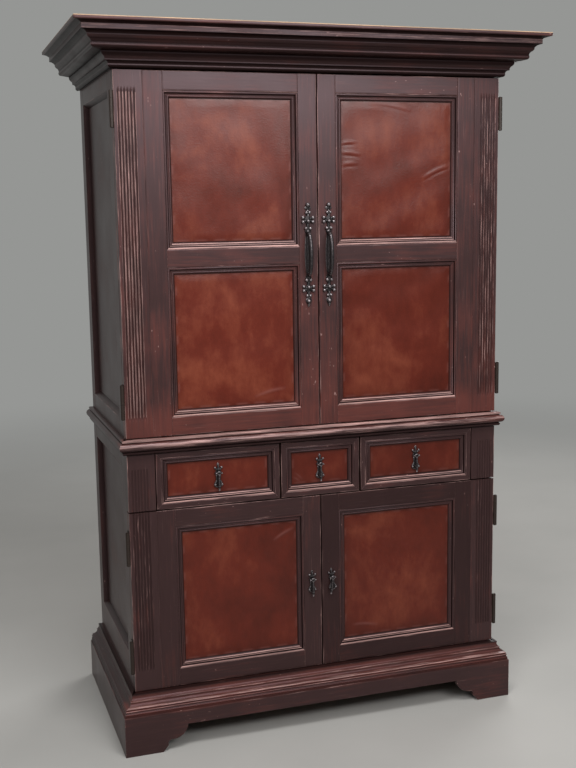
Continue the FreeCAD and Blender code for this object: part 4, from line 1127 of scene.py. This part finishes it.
class ARMOIRE_OT_case(bpy.types.Operator):
    """Builds the sides, base, waist, cornice, top and back of the case, and stains the inside"""

    bl_idname = "armoire.case"
    bl_label = "Case"

    def execute(self, context):
        self.sides()
        self.mouldings()
        self.base()
        self.back(context.scene.armoire_sizes)
        for node in ("lower_case_boards", "upper_case_boards", "shelves", "base_inner_frame", "door_catches"):
            paint_node(node, "inside across")
        for node in ("shelf_cleats", "drawer_partitions", "drawer_runners"):
            paint_node(node, "inside deep")
        return {"FINISHED"}

    def sides(self):
        """Framed and panelled sides of both cases."""
        y = (Y_CASE + SIDE_STILES[0], Y_BACK - SIDE_STILES[1])
        for k, (word, z, panel) in enumerate(CASES):
            frames, fields = [], []
            for side, _ in SIDES:
                seed = 400 + 20 * k + 50 * (side + 1)
                x = (side * INNER_HALF, side * HALF)
                frames += [
                    eased_board(x, (Y_CASE, y[0]), z, 2, seed, ("z0", "z1")),
                    eased_board(x, (y[1], Y_BACK), z, 2, seed + 1, ("z0", "z1")),
                    eased_board(x, y, (z[0], panel[0]), 1, seed + 2, ("y0", "y1", "z0")),
                    eased_board(x, y, (panel[1], z[1]), 1, seed + 3, ("y0", "y1", "z1")),
                    *self.sloped_frame(side, y, panel, seed + 4),
                ]
                fields.append(eased_board((x[0], side * (HALF - SIDE_RECESS)), y, panel, 2, seed + 9, (), 0.0))
            piece(word + "_side_boards", frames, "carcass", [word + "_side_frames"])
            piece(word + "_side_fields", fields, "carcass", [word + "_side_panels"])

    def sloped_frame(self, side, y, z, seed):
        """Four mitred slopes from a side frame down to its panel."""
        shapes = []
        turns = ((0, 0), (1, 0), (1, 1), (0, 1))
        outer = [(y[a], z[b]) for a, b in turns]
        inner = [(y[a] + SIDE_SLOPE * (1 - 2 * a), z[b] + SIDE_SLOPE * (1 - 2 * b)) for a, b in turns]
        high, low = side * HALF, side * (HALF - SIDE_RECESS)
        for k in range(4):
            j = (k + 1) % 4
            points = np.array([(high, *outer[k]), (high, *outer[j]), (low, *inner[j]), (low, *inner[k]),
                               (low, *outer[k]), (low, *outer[j])])
            faces = [[0, 1, 2, 3], [3, 2, 5, 4], [4, 5, 1, 0], [0, 3, 4], [1, 5, 2]]
            order = [1, 2, 0] if k % 2 == 0 else [2, 1, 0]
            # The slopes are painted darker down at the panel: painted shade in the recess.
            shapes.append(Shape(points, faces, [0.5, 0.5, 0, 0, 0, 0], [0, 0, 0.7, 0.7, 1, 1],
                                points[:, order] + grain_offset(seed + k)))
        return shapes

    def mouldings(self):
        """Base moulding, waist and cornice, and the bare board on top."""
        # Fillet, two beads, a hollow, a second pair of beads, a worn ogee and a plain face
        base = profile((40.0, 0), [(0, 3, 0), (-2.5, 1, 0), (0, 6, 1.8), (-1, 1.5, 0), (0.5, 4, -1), (0, 3, 1.2),
                                   (-3, 1.2, 0), (0, 4.5, 1.8), (-6, 1, 0), (-9, 12.8, -3.0), (0.5, 2.5, 1.0),
                                   (-2.5, 0.8, 0), (-4, 12.7, -2.0), (0, 4, 0)], 10, 0.8)
        base_scuff = ((0, 0), (14, 0.1), (17, 0.8), (19, 0), (22, 0.3), (25, 0.9), (28, 0.4), (36, 0.5), (39, 0.9),
                      (42, 0.1), (46, 0))
        # Painted shade with some soot along the foot, in the quirks and along the top under the doors
        base_soot_and_shade = ((0, 0.5), (4, 0.3), (8, 0.1), (11, 0.7), (14, 0), (19, 0), (20, 0.6), (22, 0), (53, 0),
                     (56, 0.4), (58, 0.8))
        # Fillet, quirk, the big nose, a second quirk and a narrow fillet
        waist = profile((12.0, 0), [(0, 2, 0), (1.5, 1.5, 0), (0, 3, 0), (-3, 1, 0), (0, 2, 0), (2, 1, 0),
                                    (0, 24, 11.5), (-2, 0.5, 0), (0, 1.5, 0), (4, 0.5, 0), (0, 4.5, 0),
                                    (-2.5, 1.5, 0)], 16, 0.8)
        # Wear along the nose and the top fillet, which also stands for a painted highlight on their upper faces
        waist_scuff_and_highlight = ((0, 0), (9, 0), (14, 0.45), (20, 0.7), (26, 1.1), (31, 0.9), (35, 0.1), (38, 0.9), (43, 1.1))
        # Painted shade with some soot under the waist and in its quirks
        waist_soot_and_shade = ((0, 0.9), (3, 0.5), (5, 0.2), (8, 0.9), (10, 0.6), (13, 0), (33, 0), (35, 0.5), (37, 0))
        # The cornice's hollows and the faces under what juts out are painted dark, as painted shade with some soot;
        # its beads and fascia are wiped.
        cornice = profile((4.0, 0), [(10, 8, 4.1), (10, 10, -3.5), (5, 12, -2.0), (5, 12, 2.0), (24, 4, 0),
                                     (8, 12, 4.6), (6, 11, -1.9), (6, 11, 1.9), (17, 9, -2.3), (0, 14, 0),
                                     (17, 7, -1.6)])
        cornice_scuff = ((0, 0), (7, 0.2), (8, 0.4), (10, 0), (52, 0), (54, 0.4), (56, 0), (89, 0), (91, 0.45),
                         (103, 0.8), (104, 0))
        cornice_soot_and_shade = ((0, 1), (6.5, 0.8), (8, 0.1), (10, 0.8), (15, 0.9), (20, 0.6), (28, 0.45), (33, 0.9), (45, 1),
                        (46, 0.3), (49, 0.9), (53, 0.1), (56, 0.6), (59, 1), (66, 0.6), (75, 0.4), (80, 0.85),
                        (89, 1), (90, 0.3), (103, 0), (104, 0.8), (110, 0.9))
        for word, *run in (("base", Z_BASE, base, 600, 0.4, base_scuff, base_soot_and_shade),
                           ("waist", Z_WAIST, waist, 610, 0.3, waist_scuff_and_highlight, waist_soot_and_shade),
                           ("cornice", Z_CORNICE, cornice, 620, 0.3, cornice_scuff, cornice_soot_and_shade)):
            piece(word + "_mould", wrapped_moulding(*run), "carcass", [word + "_moulding"], crease=35)
        edge = HALF + CORNICE_REACH
        top = eased_board((-edge, edge), (Y_FRONT - CORNICE_REACH, Y_BACK), Z_TOP, 0, 630, (), 0.6, ease=TOP_EASE)
        # The paint stops at the upper arris, which is worn down to raw wood like the face above it.
        bare = Z_TOP[1] - TOP_EASE - 0.1
        top.finish = np.array([min(top.points[i][2] for i in face) > bare for face in top.faces], int)
        piece("cornice_top", [top], "carcass", ["cornice_top_board"], ("paint", "bare"))

    def base(self):
        """Front board on its scrolled feet, and the two side boards."""
        foot = profile((450.0, 78.0), [(49, -42, 12.9), (13, -16, -6.2), (17, -20, 0)], 6, 0)
        ring = [(PLINTH_HALF, 0.0), (PLINTH_HALF, Z_BASE), (-PLINTH_HALF, Z_BASE), (-PLINTH_HALF, 0.0)]
        outline = np.concatenate([foot, ring, foot[::-1] * (-1, 1)])
        behind = PLINTH_FRONT + PLINTH_BOARD
        piece("base_front", [sawn_board(outline, PLINTH_FRONT, behind, 640, 0.65)], "carcass", ["base_front_board"],
              crease=35)
        boards = [eased_board((s * (PLINTH_HALF - PLINTH_BOARD), s * PLINTH_HALF), (behind, Y_BACK), (0, Z_BASE), 1,
                              650 + s, ("y0", "z1")) for s in (-1, 1)]
        piece("base_sides", boards, "carcass", ["base_side_boards"])

    def back(self, sizes):
        """Upright back boards with their nails."""
        pitch = 2 * INNER_HALF / BACK_BOARDS
        beside, above = NAIL_INSET
        points = []
        for word, (low, high), _ in CASES:
            shapes = []
            for k in range(BACK_BOARDS):
                x = -INNER_HALF + k * pitch
                # The middle board of the upper case ends above the slot for cables.
                foot = low + (CABLE_SLOT if (word, k) == ("upper", 2) else 0)
                span = (x + BACK_SEAM / 2, x + pitch - BACK_SEAM / 2)
                shapes.append(eased_board(span, Y_BACK_BOARDS, (foot, high), 2, 660 + k, (), 0.4))
                for z in (foot + above, (foot + high) / 2, high - above):
                    points += [(-(x + d) * MM, z * MM, 0.0) for d in (beside, pitch / 2, pitch - beside)]
            piece(word + "_back", shapes, "carcass", [word + "_back_boards"], ("inside upright",))
        nails = grown(nail_tree(), {"Radius": sizes.nail, "Rise": NAIL_RISE, "Seed": 3}, "nails", "steel", points)
        grown_piece("back_nails", nails, at(0, Y_BACK_BOARDS[1], 0) @ BACKWARD, "carcass", [], 60)


class ARMOIRE_PT_panel(bpy.types.Panel):
    """Sidebar panel that lists the armoire's pieces"""

    bl_idname = "ARMOIRE_PT_panel"
    bl_label = "Armoire"
    bl_space_type = "VIEW_3D"
    bl_region_type = "UI"
    bl_category = "Armoire"

    def draw(self, context):
        for group in (context.scene.armoire_sizes, context.scene.armoire_colours):
            for key in group.__annotations__:
                self.layout.prop(group, key)
        for operator in OPERATORS:
            self.layout.operator(operator.bl_idname)


OPERATORS = (ARMOIRE_OT_stage, ARMOIRE_OT_doors, ARMOIRE_OT_drawers, ARMOIRE_OT_leather, ARMOIRE_OT_pulls,
             ARMOIRE_OT_hinges, ARMOIRE_OT_case)
CLASSES = (ArmoireSizes, ArmoireColours, *OPERATORS, ARMOIRE_PT_panel)


def register():
    """Adds the classes and the scene's settings."""
    for item in CLASSES:
        bpy.utils.register_class(item)
    bpy.types.Scene.armoire_sizes = bpy.props.PointerProperty(type=ArmoireSizes)
    bpy.types.Scene.armoire_colours = bpy.props.PointerProperty(type=ArmoireColours)


def unregister():
    """Takes them away again."""
    del bpy.types.Scene.armoire_colours
    del bpy.types.Scene.armoire_sizes
    for item in reversed(CLASSES):
        bpy.utils.unregister_class(item)


def main():
    """Builds the whole armoire."""
    register()
    bpy.ops.armoire.stage()
    bpy.ops.armoire.doors()
    bpy.ops.armoire.drawers()
    bpy.ops.armoire.leather()
    bpy.ops.armoire.pulls()
    bpy.ops.armoire.hinges()
    bpy.ops.armoire.case()


if __name__ == "__main__":
    main()
